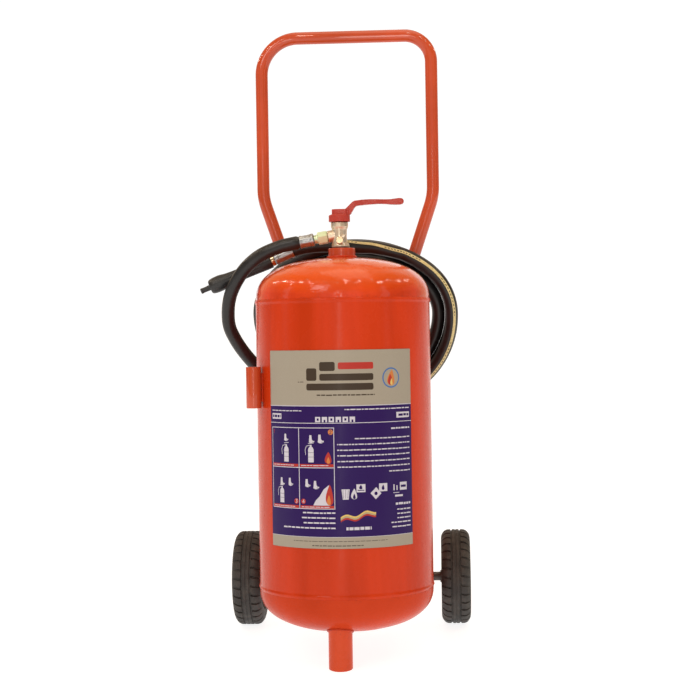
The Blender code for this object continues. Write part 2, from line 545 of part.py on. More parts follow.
side_rot = (0, math.pi / 2, 0)
AXLE_END = WHEEL_X + WHEEL_W / 2 - 0.0010
BOSS_IN, BOSS_OUT = 0.0190, 0.0120     # how far a hub's boss reaches either way from the wheel's middle
STOP = WHEEL_X - BOSS_IN - 0.0027      # outer face of the ring welded on the axle inside each wheel
half_axle = [(0, AXLE_END), (AXLE_R - 0.0008, AXLE_END), (AXLE_R, AXLE_END - 0.0008), (AXLE_R, STOP), (AXLE_R + 0.0030, STOP), (AXLE_R + 0.0030, STOP - 0.0050), (AXLE_R, STOP - 0.0050)]
turned("axle", half_axle + [(r, -x) for r, x in reversed(half_axle)],
       STEEL, stance, loc=(0, AXLE_Y, AXLE_Z), rot=side_rot, steps=20, ring=False)
for side, way in (("left", -1), ("right", 1)):
    # A cheek plate from the shell's side back to the axle.
    low, high = AXLE_Z - 0.019, AXLE_Z + 0.029
    cheek = plate(f"axle_bracket_{side}", [
        (0.0640, low), (0.1780, low), (0.1890, low + 0.008), (0.1920, AXLE_Z), (0.1880, AXLE_Z + 0.015), (0.1740, high), (0.0640, high)],
        BRACKET_T, PAINT, stance, loc=(way * BRACKET_X, 0, 0), rot=(math.pi / 2, 0, math.pi / 2))
    hole = turned(f"cut_bracket_{side}", rod(AXLE_R + 0.0004, -0.02, 0.02), PAINT, stance, loc=(way * BRACKET_X, AXLE_Y, AXLE_Z), rot=side_rot,
                  steps=20, ring=False, helper=True)
    combine(cheek, hole, "DIFFERENCE")

    # The wheel turns about the axle. Its tread has a point of its outline straight down as it stands.
    hub_axis = bpy.data.objects.new(f"wheel_{side}_axis", None)
    parts.objects.link(hub_axis)
    hub_axis.parent = stance
    hub_axis.location = (way * WHEEL_X, AXLE_Y, AXLE_Z)
    hub_axis.rotation_euler = (LEAN, 0, 0)
    h = WHEEL_W / 2
    face = [(0.0560, 0.0005), (0.0650, 0), (0.0722, 0.0020), (0.0776, 0.0063), (WHEEL_R, 0.0115)]
    turned(f"tyre_{side}", [(r, h - d) for r, d in face] + [(r, d - h) for r, d in reversed(face)] + [
        (0.0503, -h + 0.0070), (0.0503, h - 0.0070)], TYRE, hub_axis, rot=side_rot, steps=32)
    # The hub's boss is set in on the outer face, so that the washer, pin and axle end stay inside the tyre.
    rim = [(0.0500, 0.0170), (0.0440, 0.0170), (0.0400, 0.0090), (0.0185, 0.0090)]
    outer = rim + [(0.0185, BOSS_OUT), (0.0118, BOSS_OUT)]
    inner = rim + [(0.0185, BOSS_IN), (0.0118, BOSS_IN)]
    hub_line = [(r, z) for r, z in reversed(outer)] + [(r, -z) for r, z in inner]
    turned(f"wheel_hub_{side}", [(r, z * way) for r, z in (hub_line if way > 0 else reversed(hub_line))], PLASTIC, hub_axis, rot=side_rot, steps=24)
    bush = pipe(0.0114, 0.0079, -BOSS_IN, BOSS_OUT) if way > 0 else pipe(0.0114, 0.0079, -BOSS_OUT, BOSS_IN)
    turned(f"wheel_bush_{side}", bush, NYLON, hub_axis, rot=side_rot, steps=16)
    for where, at in (("inner", WHEEL_X - BOSS_IN - 0.0014), ("outer", WHEEL_X + BOSS_OUT + 0.0014)):
        turned(f"washer_{where}_{side}", pipe(0.0125, AXLE_R + 0.0004, -0.0010, 0.0010), SILVER, stance, loc=(way * at, AXLE_Y, AXLE_Z),
               rot=side_rot, steps=16)
    pin_at = (way * (WHEEL_X + BOSS_OUT + 0.0046), AXLE_Y, AXLE_Z)
    pin = turned(f"split_pin_{side}", [(0, 0.0125), (0.0014, 0.0120), (0.0014, -0.0125), (0, -0.0128)], STEEL, stance, loc=pin_at, steps=10, ring=False)
    pin_hole = turned(f"cut_pin_{side}", rod(0.0018, -0.02, 0.02), STEEL, stance, loc=pin_at, steps=10, ring=False, helper=True)
    combine(bpy.data.objects["axle"], pin_hole, "DIFFERENCE")

# ---------------------------------------------------------------- nozzle holder and label
reach = SHELL_R + GAP + 0.0015 + HOLDER_R
holder_at = Vector((-reach * math.cos(HOLDER_AZ), -reach * math.sin(HOLDER_AZ), 0))
turned("nozzle_holder", pipe(HOLDER_R, HOLDER_R - HOLDER_WALL, HOLDER_BOTTOM, HOLDER_TOP), PAINT, stance, loc=holder_at, steps=20)
tab = cube("holder_tab", (0.0050, 0.0080, 0.0460), PAINT, stance, loc=(-(SHELL_R + 0.0016) * math.cos(HOLDER_AZ), -(SHELL_R + 0.0016) * math.sin(HOLDER_AZ), 0.4445),
           rot=(0, 0, HOLDER_AZ))
shell_cut = turned("cut_shell", rod(SHELL_R + GAP, 0.2, 0.56), PAINT, stance, steps=96, ring=False, helper=True)
holder_cut = turned("cut_holder", rod(HOLDER_R + GAP, 0.40, 0.50), PAINT, stance, loc=holder_at, steps=20, ring=False, helper=True)
combine(combine(tab, shell_cut, "DIFFERENCE"), holder_cut, "DIFFERENCE")

sheet = bpy.data.meshes.new("label")
sheet.from_pydata([(0, -(SHELL_R + 0.0006), LABEL_HIGH), (0, -(SHELL_R + 0.0006), LABEL_LOW)], [(0, 1)], [])
label = place(bpy.data.objects.new("label", sheet), LABEL, stance, rot=(0, 0, -LABEL_W / SHELL_R / 2))
bend = label.modifiers.new("bend", "SCREW")
bend.axis = "Z"
bend.angle = LABEL_W / SHELL_R
bend.steps = bend.render_steps = 20
bend.use_merge_vertices = False
bend.use_smooth_shade = True
thick = label.modifiers.new("film", "SOLIDIFY")
thick.thickness = LABEL_T
thick.offset = 1.0

bpy.context.view_layer.update()
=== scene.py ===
"""Detailed visual model of the wheeled powder extinguisher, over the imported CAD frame. Metres."""

import math
import random

import bmesh
import bpy
from mathutils import Matrix, Vector, noise


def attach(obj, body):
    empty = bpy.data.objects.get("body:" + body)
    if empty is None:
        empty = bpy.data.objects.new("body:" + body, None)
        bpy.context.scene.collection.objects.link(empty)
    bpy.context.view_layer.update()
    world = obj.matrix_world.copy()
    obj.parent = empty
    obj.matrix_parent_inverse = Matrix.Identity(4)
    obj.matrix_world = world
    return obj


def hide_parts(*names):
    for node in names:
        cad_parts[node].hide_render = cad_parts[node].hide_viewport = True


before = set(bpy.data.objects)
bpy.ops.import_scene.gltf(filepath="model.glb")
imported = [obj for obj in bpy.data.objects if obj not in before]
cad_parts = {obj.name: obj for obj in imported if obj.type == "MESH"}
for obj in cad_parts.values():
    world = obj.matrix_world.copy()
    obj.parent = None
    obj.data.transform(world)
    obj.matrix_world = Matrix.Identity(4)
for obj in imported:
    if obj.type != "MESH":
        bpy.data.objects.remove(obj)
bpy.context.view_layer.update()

# ------------------------------------------------------------------ the CAD's own numbers
SHELL_R, SHELL_WALL = 0.1400, 0.0025
SEAM_LOW, SEAM_HIGH = 0.1200, 0.5830
HEAD_RISE, HEAD_POWER = 0.0670, 2.4
COLLAR_R, COLLAR_BORE_R, COLLAR_TOP, HEAD_HOLE_R = 0.0218, 0.0126, 0.6650, 0.0172
VALVE_X, BALL_Z, BALL_R = -0.0030, 0.6870, 0.0080
OUTLET_DROP = math.radians(9.7)
STEM_R, LEVER_LOW = 0.0031, 0.7074
HOSE_R = 0.0110
COIL = Vector((0.0125, 0.1300, 0.5575))
COIL_HALF_W, COIL_UP, COIL_DOWN, COIL_TILT = 0.1525, 0.1040, 0.1360, math.atan(0.298)
HANDLE_R = 0.01065
HANDLE_X, HANDLE_Y, HANDLE_TOP, HANDLE_FOOT_X, HANDLE_SHIFT = 0.1449, 0.1480, 1.0330, 0.0907, 0.0030
HANDLE_CORNER_R, HANDLE_CORNER_LEFT = 0.0450, 0.0620
WHEEL_R, WHEEL_W, WHEEL_X = 0.0800, 0.0500, 0.1770
AXLE_Y, AXLE_Z, AXLE_R = 0.1700, 0.1080, 0.0075
BRACKET_X, BRACKET_T = 0.1330, 0.0050
FOOT_X, FOOT_Y, FOOT_R, FOOT_WALL = -0.0060, -0.0860, 0.0190, 0.0030
HOLDER_R, HOLDER_WALL, HOLDER_BOTTOM, HOLDER_TOP = 0.0120, 0.0020, 0.4120, 0.4770
HOLDER_AZ = math.radians(26.0)
LABEL_W, LABEL_LOW, LABEL_HIGH = 0.2480, 0.1990, 0.5025
LEAN = math.radians(5.2)
FLOOR = AXLE_Z * math.cos(LEAN) - AXLE_Y * math.sin(LEAN) - WHEEL_R
CENTRE_Y = 0.0647
BEAD = 0.0012

STANCE = Matrix.Translation((0, -CENTRE_Y, -FLOOR)) @ Matrix.Rotation(-LEAN, 4, "X")
scene = bpy.context.scene
rng = random.Random(11)

# ------------------------------------------------------------------ camera: level-ish, a little to the right of the front
AZ, DIST, FOCAL = math.radians(3.6), 2.5, 1549.0
eye = Vector((DIST * math.sin(AZ), -DIST * math.cos(AZ), 0.525))
ahead = Vector((-math.sin(AZ), math.cos(AZ), 0)) + Vector((math.cos(AZ), math.sin(AZ), 0)) * (6.7 / FOCAL) - Vector((0, 0, 1)) * (15.0 / FOCAL)
ahead.normalize()
right = ahead.cross(Vector((0, 0, 1))).normalized()
up = right.cross(ahead)
ROLL = math.radians(0.9)
right, up = right * math.cos(ROLL) - up * math.sin(ROLL), up * math.cos(ROLL) + right * math.sin(ROLL)
cam_data = bpy.data.cameras.new("camera")
cam = bpy.data.objects.new("camera", cam_data)
scene.collection.objects.link(cam)
cam_data.sensor_width = 36.0
cam_data.lens = FOCAL / 700 * 36.0
turn = Matrix((right, up, -ahead)).transposed().to_4x4()
cam.matrix_world = STANCE @ (Matrix.Translation(eye) @ turn)
cam_data.clip_end = 60
scene.camera = cam
scene.view_settings.view_transform = "Standard"
scene.view_settings.look = "None"
scene.view_settings.exposure = 0.0


# ------------------------------------------------------------------ material nodes
class Look:
    """A Principled material built up with a few short calls."""

    def __init__(self, name, rough=0.4, metal=0.0, coat=0.0, coat_rough=0.1, spec=0.5):
        self.mat = bpy.data.materials.new(name)
        self.mat.use_nodes = True
        self.tree = self.mat.node_tree
        self.shader = self.tree.nodes["Principled BSDF"]
        self.shader.inputs["Roughness"].default_value = rough
        self.shader.inputs["Metallic"].default_value = metal
        self.shader.inputs["Coat Weight"].default_value = coat
        self.shader.inputs["Coat Roughness"].default_value = coat_rough
        self.shader.inputs["Specular IOR Level"].default_value = spec
        self.where = None

    def add(self, kind, **settings):
        made = self.tree.nodes.new(kind)
        for key, value in settings.items():
            setattr(made, key, value)
        return made

    def link(self, source, target):
        self.tree.links.new(source, target)

    def place(self, stretch=(1, 1, 1)):
        """Object coordinates, stretched, so that grain keeps its scale in metres."""
        if self.where is None:
            self.where = self.add("ShaderNodeTexCoord").outputs["Object"]
        if stretch == (1, 1, 1):
            return self.where
        scale = self.add("ShaderNodeVectorMath", operation="MULTIPLY")
        scale.inputs[1].default_value = stretch
        self.link(self.where, scale.inputs[0])
        return scale.outputs[0]

    def noise(self, scale, detail=3.0, rough=0.5, stretch=(1, 1, 1), distort=0.0):
        made = self.add("ShaderNodeTexNoise")
        made.inputs["Scale"].default_value = scale
        made.inputs["Detail"].default_value = detail
        made.inputs["Roughness"].default_value = rough
        made.inputs["Distortion"].default_value = distort
        self.link(self.place(stretch), made.inputs["Vector"])
        return made.outputs["Fac"]

    def span(self, value, low, high, to_low=0.0, to_high=1.0):
        made = self.add("ShaderNodeMapRange")
        made.inputs["From Min"].default_value = low
        made.inputs["From Max"].default_value = high
        made.inputs["To Min"].default_value = to_low
        made.inputs["To Max"].default_value = to_high
        self.link(value, made.inputs["Value"])
        return made.outputs["Result"]

    def math(self, operation, a, b):
        made = self.add("ShaderNodeMath", operation=operation)
        for socket, value in zip(made.inputs, (a, b)):
            if isinstance(value, (int, float)):
                socket.default_value = value
            else:
                self.link(value, socket)
        return made.outputs[0]

    def blend(self, factor, a, b):
        made = self.add("ShaderNodeMix", data_type="RGBA")
        for socket, value in ((made.inputs[0], factor), (made.inputs[6], a), (made.inputs[7], b)):
            if isinstance(value, (int, float)):
                socket.default_value = value
            elif isinstance(value, tuple):
                socket.default_value = (*value, 1)
            else:
                self.link(value, socket)
        return made.outputs[2]

    def colour(self, value):
        if isinstance(value, tuple):
            self.shader.inputs["Base Color"].default_value = (*value, 1)
        else:
            self.link(value, self.shader.inputs["Base Color"])

    def rough(self, value):
        self.link(value, self.shader.inputs["Roughness"])

    def bump(self, *layers):
        """Each layer is (height, metres)."""
        last = None
        for height, reach in layers:
            made = self.add("ShaderNodeBump")
            made.inputs["Strength"].default_value = 1.0
            made.inputs["Distance"].default_value = reach
            self.link(height, made.inputs["Height"])
            if last is not None:
                self.link(last, made.inputs["Normal"])
            last = made.outputs["Normal"]
        self.link(last, self.shader.inputs["Normal"])
        return last

    def edges(self, low=0.52, high=0.60):
        geo = self.add("ShaderNodeNewGeometry")
        return self.span(geo.outputs["Pointiness"], low, high)


def paint(name, tone=(0.68, 0.034, 0.004), wave=0.00025, wave_scale=16.0, wear=0.5, stretch=(1, 1, 1), coat=0.20, coat_rough=0.07, low_painted_shade=0.30, ior=1.22, coat_ior=1.36, painted_top_sheen=None):
    look = Look(name, 0.26, coat=coat, coat_rough=coat_rough)
    look.shader.inputs["IOR"].default_value = ior
    look.shader.inputs["Coat IOR"].default_value = coat_ior
    lighter = tuple(min(1, c * 1.12 + 0.006) for c in tone)
    darker = tuple(c * 0.86 for c in tone)
    patch = look.span(look.noise(5.0 if stretch == (1, 1, 1) else 14.0, 4.0, 0.55, stretch), 0.35, 0.65)
    body = look.blend(patch, darker, lighter)
    # painted shade: the lower half is painted a little darker than the top, shade put into the colour
    height = look.add("ShaderNodeSeparateXYZ")
    look.link(look.place(), height.inputs[0])
    body = look.blend(look.span(height.outputs["Z"], 0.05, 0.42, low_painted_shade, 0.0), body, tuple(c * 0.5 for c in tone))
    if painted_top_sheen:
        # painted highlight: the head turns a little more orange towards its top, the warm overhead light's sheen
        # painted into the colour
        body = look.blend(look.span(height.outputs["Z"], 0.585, 0.622, 0.0, 0.9), body, painted_top_sheen)
    speck = look.span(look.noise(420.0, 2.0, 0.6), 0.70, 0.76, 0, 0.35)
    body = look.blend(speck, body, tuple(c * 0.72 for c in tone))
    scuff = look.math("MULTIPLY", look.edges(0.53, 0.62), look.span(look.noise(160.0, 4.0, 0.6), 0.55, 0.66, 0, wear))
    body = look.blend(scuff, body, (0.30, 0.035, 0.02))
    look.colour(body)
    look.rough(look.span(look.noise(38.0, 4.0, 0.6), 0.3, 0.7, 0.20, 0.34))
    last = look.bump((look.noise(wave_scale, 2.0, 0.5, stretch), wave), (look.noise(520.0, 2.0, 0.5), 0.000012))
    look.link(last, look.shader.inputs["Coat Normal"])
    return look.mat


def metal(name, tone, rough=0.35, grain=600.0, depth=0.00002, tint=None, cast=0.0, share=1.0):
    look = Look(name, rough, metal=share)
    patch = look.span(look.noise(70.0, 4.0, 0.6), 0.35, 0.7)
    look.colour(look.blend(patch, tone, tint or tuple(c * 0.78 for c in tone)))
    look.rough(look.span(look.noise(240.0, 4.0, 0.6), 0.3, 0.7, rough * 0.75, rough * 1.3))
    layers = [(look.noise(grain, 3.0, 0.6), depth)]
    if cast:
        layers.insert(0, (look.noise(170.0, 3.0, 0.6), cast))
    look.bump(*layers)
    return look.mat


def moulded(name, tone, rough=0.42, grain=900.0, depth=0.000015, spec=0.5, dust=0.0):
    look = Look(name, rough, spec=spec)
    patch = look.span(look.noise(22.0, 5.0, 0.6), 0.35, 0.7)
    body = look.blend(patch, tone, tuple(c * 1.35 + 0.002 for c in tone))
    if dust:
        film = look.span(look.noise(60.0, 5.0, 0.7), 0.45, 0.75, 0, dust)
        body = look.blend(film, body, (0.16, 0.13, 0.10))
    look.colour(body)
    look.rough(look.span(look.noise(90.0, 4.0, 0.6), 0.3, 0.7, rough * 0.85, rough * 1.2))
    look.bump((look.noise(grain, 3.0, 0.6), depth))
    return look.mat


# each paint below is darkened towards its bottom by painted shade
RED = paint("paint_shell", tone=(0.60, 0.041, 0.005), wave=0.00070, wave_scale=30.0, stretch=(1, 1, 0.045), coat=0.24, coat_rough=0.13, low_painted_shade=0.06, ior=1.18)
RED_LOW = paint("paint_lower_head", tone=(0.60, 0.051, 0.011), wave=0.00045, wave_scale=40.0, coat=0.08, coat_rough=0.06, low_painted_shade=0.14, ior=1.13)
# painted highlight: the dome's paint is a lighter copy of the shell's and turns orange towards its top, for the warm
# overhead light's sheen
RED_DOME = paint("paint_dome", tone=(0.66, 0.044, 0.003), wave=0.00045, wave_scale=140.0, stretch=(1, 1, 1.6), coat=1.0, coat_rough=0.03, ior=1.16, coat_ior=1.42, painted_top_sheen=(0.80, 0.105, 0.004))
RED_TUBE = paint("paint_tube", tone=(0.53, 0.062, 0.014), wave=0.00010, wave_scale=60.0, wear=0.8, coat=0.90, coat_rough=0.04, ior=1.14, coat_ior=1.52)
RED_FOOT = paint("paint_foot", tone=(0.70, 0.070, 0.012), wave=0.00016, wave_scale=110.0, wear=0.8, low_painted_shade=0.08, stretch=(1, 1, 0.35), coat=0.30, coat_rough=0.05, coat_ior=1.45)
RED_WELD = paint("paint_weld", tone=(0.60, 0.045, 0.009), wave=0.00050, wave_scale=190.0, wear=0.6)
ENAMEL = paint("enamel_lever", tone=(0.44, 0.052, 0.038), wave=0.00012, wave_scale=120.0, wear=0.9)
BRASS = metal("brass_cast", (0.80, 0.68, 0.53), 0.38, cast=0.00022, tint=(0.67, 0.55, 0.40))
BRASS_CUT = metal("brass_machined", (0.80, 0.58, 0.36), 0.25)
YELLOW = metal("zinc_yellow", (0.74, 0.86, 0.58), 0.36, tint=(0.66, 0.77, 0.49), share=0.60)
SILVER = metal("zinc_silver", (0.47, 0.48, 0.49), 0.36)
STEEL = metal("steel_bare", (0.48, 0.47, 0.46), 0.36)
NYLON = moulded("nylon_offwhite", (0.70, 0.67, 0.60), 0.45)
PTFE = moulded("ptfe_white", (0.82, 0.82, 0.80), 0.40)
GASKET = moulded("rubber_gasket", (0.02, 0.02, 0.02), 0.6)
PLASTIC = moulded("plastic_nozzle", (0.016, 0.016, 0.017), 0.40, dust=0.05)
HUB = moulded("plastic_hub", (0.022, 0.021, 0.021), 0.46, dust=0.16)
TYRE = moulded("rubber_tyre", (0.028, 0.025, 0.023), 0.66, grain=420.0, depth=0.00006, dust=0.30)


# ------------------------------------------------------------------ mesh tools
def new_object(name, mesh, mat, matrix=STANCE, sharp=38.0):
    mesh.materials.clear()
    mesh.materials.append(mat)
    mesh.transform(matrix)
    ob = bpy.data.objects.new(name, mesh)
    scene.collection.objects.link(ob)
    mesh.shade_smooth()
    mesh.set_sharp_from_angle(angle=math.radians(sharp))
    return ob


def closed(mesh):
    work = bmesh.new()
    work.from_mesh(mesh)
    bmesh.ops.remove_doubles(work, verts=work.verts, dist=1e-6)
    bmesh.ops.recalc_face_normals(work, faces=work.faces)
    work.to_mesh(mesh)
    work.free()
    return mesh


def softened(profile, radius, ring):
    """A turned outline with each sharp corner rounded by a short arc."""
    count, out = len(profile), []
    for i, (r, z) in enumerate(profile):
        if not ring and i in (0, count - 1) or r < 1e-6:
            out.append((r, z))
            continue
        a, b, c = Vector(profile[i - 1]), Vector((r, z)), Vector(profile[(i + 1) % count])
        da, dc = a - b, c - b
        if da.length < 1e-7 or dc.length < 1e-7:
            continue
        angle = da.angle(dc)
        if angle > math.radians(158):
            out.append((r, z))
            continue
        reach = min(radius / math.tan(angle / 2), da.length * 0.42, dc.length * 0.42)
        p, q = b + da.normalized() * reach, b + dc.normalized() * reach
        for k in range(4):
            t = k / 3
            spot = p * (1 - t) ** 2 + b * 2 * t * (1 - t) + q * t * t
            out.append((spot.x, spot.y))
    return out


def lathe_mesh(name, profile, steps=96, ring=True, soft=0.0, shape=None):
    """shape(radius, height, angle) may move a point's radius."""
    line = softened(profile, soft, ring) if soft else profile
    verts, faces, rows = [], [], len(line)
    for k in range(steps):
        a = 2 * math.pi * k / steps
        for r, z in line:
            rr = shape(r, z, a) if shape else r
            verts.append((rr * math.cos(a), rr * math.sin(a), z))
    for k in range(steps):
        n = (k + 1) % steps
        for i in range(rows if ring else rows - 1):
            j = (i + 1) % rows
            faces.append((k * rows + i, n * rows + i, n * rows + j, k * rows + j))
    mesh = bpy.data.meshes.new(name)
    mesh.from_pydata(verts, [], faces)
    return closed(mesh)


def lathe(name, profile, mat, matrix=STANCE, steps=96, ring=True, soft=0.0, shape=None, sharp=38.0):
    return new_object(name, lathe_mesh(name, profile, steps, ring, soft, shape), mat, matrix, sharp)


def rod(radius, low, high):
    return [(0, high), (radius, high), (radius, low), (0, low)]


def pipe(radius, bore, low, high):
    return [(radius, high), (radius, low), (bore, low), (bore, high)]


def at(loc=(0, 0, 0), towards=None, turn=0.0):
    """STANCE with a local frame at loc, its Z along towards."""
    made = Matrix.Translation(loc)
    if towards is not None:
        made = made @ Vector(towards).to_track_quat("Z", "Y").to_matrix().to_4x4()
    return STANCE @ made @ Matrix.Rotation(turn, 4, "Z")


def smooth_line(route, spacing):
    ends = [2 * route[0] - route[1], *route, 2 * route[-1] - route[-2]]
    fine = []
    for a, b, c, d in zip(ends, ends[1:], ends[2:], ends[3:]):
        for k in range(16):
            t = k / 16
            fine.append(0.5 * (2 * b + (c - a) * t + (2 * a - 5 * b + 4 * c - d) * t * t + (3 * b - a - 3 * c + d) * t ** 3))
    fine.append(route[-1].copy())
    return respaced(fine, spacing)


def respaced(fine, spacing):
    run = [0.0]
    for a, b in zip(fine, fine[1:]):
        run.append(run[-1] + (b - a).length)
    count = max(2, round(run[-1] / spacing))
    out, j = [], 0
    for k in range(count + 1):
        want = run[-1] * k / count
        while j < len(run) - 2 and run[j + 1] < want:
            j += 1
        share = (want - run[j]) / max(1e-9, run[j + 1] - run[j])
        out.append(fine[j].lerp(fine[j + 1], min(1.0, share)))
    return out


def tube_mesh(name, line, radius, sides=20, facing=None, closed_path=False, shape=None, caps=True):
    """A swept round tube. facing(k, point, tangent) gives the direction of the seam; radius may be a
    function of the point's number; shape(k, a) scales the radius."""
    verts, faces, uvs = [], [], []
    count = len(line)
    run = [0.0]
    for a, b in zip(line, line[1:]):
        run.append(run[-1] + (b - a).length)
    side = None
    for k, point in enumerate(line):
        before = line[k - 1] if k or closed_path else line[0]
        after = line[(k + 1) % count] if k < count - 1 or closed_path else line[-1]
        tangent = (after - before).normalized()
        if facing:
            want = facing(k, point, tangent)
        elif side is None:
            want = Vector((0, 0, 1)) if abs(tangent.z) < 0.9 else Vector((1, 0, 0))
        else:
            want = side
        side = (want - tangent * want.dot(tangent)).normalized()
        other = tangent.cross(side)
        r = radius(k) if callable(radius) else radius
        for j in range(sides):
            a = 2 * math.pi * j / sides
            rr = r * (shape(k, a) if shape else 1.0)
            verts.append(point + side * (rr * math.cos(a)) + other * (rr * math.sin(a)))
    for k in range(count if closed_path else count - 1):
        n = (k + 1) % count
        for j in range(sides):
            i = (j + 1) % sides
            faces.append((k * sides + j, k * sides + i, n * sides + i, n * sides + j))
            here, there = run[k], run[n] if n > k else run[k] + 0.005
            uvs += [(j / sides, here), ((j + 1) / sides, here), ((j + 1) / sides, there), (j / sides, there)]
    if caps and not closed_path:
        faces.append(tuple(range(sides - 1, -1, -1)))
        faces.append(tuple(range((count - 1) * sides, count * sides)))
        uvs += [(0.5, 0.0)] * sides + [(0.5, run[-1])] * sides
    mesh = bpy.data.meshes.new(name)
    mesh.from_pydata([tuple(v) for v in verts], [], faces)
    layer = mesh.uv_layers.new(name="along")
    for loop, uv in zip(layer.data, uvs):
        loop.uv = uv
    work = bmesh.new()
    work.from_mesh(mesh)
    bmesh.ops.recalc_face_normals(work, faces=work.faces)
    work.to_mesh(mesh)
    work.free()
    return mesh


def weld(name, line, radius, mat=RED_WELD, matrix=STANCE, closed_path=False, seed=0.0):
    """A fillet weld: a thin bead with the ripple of its overlapping drops."""
    fine = respaced(line + ([line[0]] if closed_path else []), 0.0011)
    if closed_path:
        fine = fine[:-1]
    swell = [radius * (1 + 0.10 * math.sin(k * 1.9 + seed) + 0.16 * noise.noise(Vector((k * 0.21, seed, 3.1)))) for k in range(len(fine))]
    mesh = tube_mesh(name, fine, lambda k: swell[k], sides=8, closed_path=closed_path)
    return new_object(name, mesh, mat, matrix, 60)


def as_solid(name, meshes, voxel=0.0005, smooth=3, cutters=(), mat=BRASS, matrix=STANCE, sharp=55.0):
    """Overlapping closed shells fused into one casting with small fillets, then bored."""
    work = bmesh.new()
    for mesh, place in meshes:
        copy = mesh.copy()
        copy.transform(place)
        work.from_mesh(copy)
    mesh = bpy.data.meshes.new(name)
    work.to_mesh(mesh)
    work.free()
    ob = bpy.data.objects.new(name, mesh)
    scene.collection.objects.link(ob)
    fuse = ob.modifiers.new("fuse", "REMESH")
    fuse.mode = "VOXEL"
    fuse.voxel_size = voxel
    ease = ob.modifiers.new("ease", "SMOOTH")
    ease.factor = 0.5
    ease.iterations = smooth
    tools = []
    for k, (cut, place) in enumerate(cutters):
        copy = cut.copy()
        copy.transform(place)
        tool = bpy.data.objects.new(f"{name}_tool_{k}", copy)
        scene.collection.objects.link(tool)
        step = ob.modifiers.new(f"bore_{k}", "BOOLEAN")
        step.operation = "DIFFERENCE"
        step.solver = "EXACT"
        step.object = tool
        tools.append(tool)
    bpy.context.view_layer.update()
    graph = bpy.context.evaluated_depsgraph_get()
    made = bpy.data.meshes.new_from_object(ob.evaluated_get(graph), depsgraph=graph)
    for tool in tools + [ob]:
        bpy.data.objects.remove(tool)
    return new_object(name, made, mat, matrix, sharp)


def fin(ob, body, *nodes, slot=None):
    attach(ob, body)
    if nodes:
        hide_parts(*nodes)
    return ob


def head_height(radius, outside=SHELL_R, rise=HEAD_RISE):
    return rise * max(0.0, 1 - (radius / outside) ** HEAD_POWER) ** (1 / HEAD_POWER)


ball_at = Vector((VALVE_X, 0, BALL_Z))
outlet = Vector((-math.cos(OUTLET_DROP), 0, -math.sin(OUTLET_DROP)))
NOZZLE_AT = Vector((-0.0845, 0.0600, 0.6650))
nozzle = Vector((-0.1560, 0.0000, -0.0645)).normalized()


def along(s):
    return ball_at + outlet * s


# ------------------------------------------------------------------ the hose, one length from valve to nozzle
up_plane = Vector((0, -math.sin(COIL_TILT), math.cos(COIL_TILT)))
back_plane = Vector((0, math.cos(COIL_TILT), math.sin(COIL_TILT)))


def coil_point(angle, out, back):
    reach = (COIL_UP if math.cos(angle) > 0 else COIL_DOWN) / math.cos(COIL_TILT)
    u, v = -COIL_HALF_W * math.sin(angle), reach * math.cos(angle)
    normal = Vector((u / COIL_HALF_W ** 2, v / reach ** 2)).normalized()
    u, v = u + out * normal.x, v + out * normal.y
    return COIL + Vector((u, 0, 0)) + up_plane * v + back_plane * back


S = HOSE_R
LANES = [(188, S, S), (485, S, S), (520, -S, S), (830, -S, S), (858, -S, -S), (890, S, -S), (985, S, -S), (1032, 0.0160, -0.0118), (1100, 0.0160, -0.0118)]


def lane(degrees):
    """Which place in the bundle the hose has at this turn of the coil."""
    for (a, out_a, back_a), (b, out_b, back_b) in zip(LANES, LANES[1:]):
        if degrees <= b:
            t = max(0.0, (degrees - a) / (b - a))
            t = t * t * (3 - 2 * t)
            return out_a + (out_b - out_a) * t, back_a + (back_b - back_a) * t
    return LANES[-1][1:]


route = [along(0.0430), along(0.0540), along(0.0660), along(0.0780)] + [Vector(p) for p in (
    (-0.1004, 0.0030, 0.6695), (-0.1310, 0.0080, 0.6575), (-0.1555, 0.0160, 0.6396), (-0.1738, 0.0260, 0.6175),
    (-0.1868, 0.0380, 0.5935), (-0.1927, 0.0500, 0.5690), (-0.1930, 0.0620, 0.5440), (-0.1862, 0.0740, 0.5235),
    (-0.1745, 0.0870, 0.5020), (-0.1595, 0.1045, 0.4805), (-0.1430, 0.1250, 0.4590))]
for angle, out, back in ((132, 0.0370, -0.0180), (140, 0.0360, -0.0060), (148, 0.0345, 0.0020), (156, 0.0310, 0.0070), (166, 0.0240, 0.0100), (177, 0.0155, 0.0110)):
    route.append(coil_point(math.radians(angle), out, back))
for degrees in range(188, 1053, 9):
    route.append(coil_point(math.radians(degrees), *lane(degrees)))
route += [Vector(p) for p in ((0.0500, 0.0702, 0.6688), (0.0250, 0.0630, 0.6702), (-0.0100, 0.0612, 0.6726), (-0.0400, 0.0600, 0.6730), (-0.0640, 0.0600, 0.6708))]
route += [NOZZLE_AT - nozzle * 0.0080, NOZZLE_AT - nozzle * 0.0010, NOZZLE_AT + nozzle * 0.0120, NOZZLE_AT + nozzle * 0.0290]
hose_line = smooth_line(route, 0.0045)
last = len(hose_line) - 1
hose_run = [0.0]
for p, q in zip(hose_line, hose_line[1:]):
    hose_run.append(hose_run[-1] + (q - p).length)
HOSE_LENGTH = hose_run[-1]


def hose_radius(k):
    """Squeezed under the ferrules at both ends, with a soft shoulder outside each."""
    from_start, from_end = hose_run[k] - 0.0223, HOSE_LENGTH - hose_run[k] - 0.0290
    near = min(from_start, from_end)
    t = min(1.0, max(0.0, (near + 0.0015) / 0.0050))
    return 0.0079 + (0.0109 - 0.0079) * t * t * (3 - 2 * t)


last_turn = coil_point(math.radians(900), *lane(900))
turn_starts = hose_run[min(range(last // 2, last), key=lambda k: (hose_line[k] - last_turn).length)]


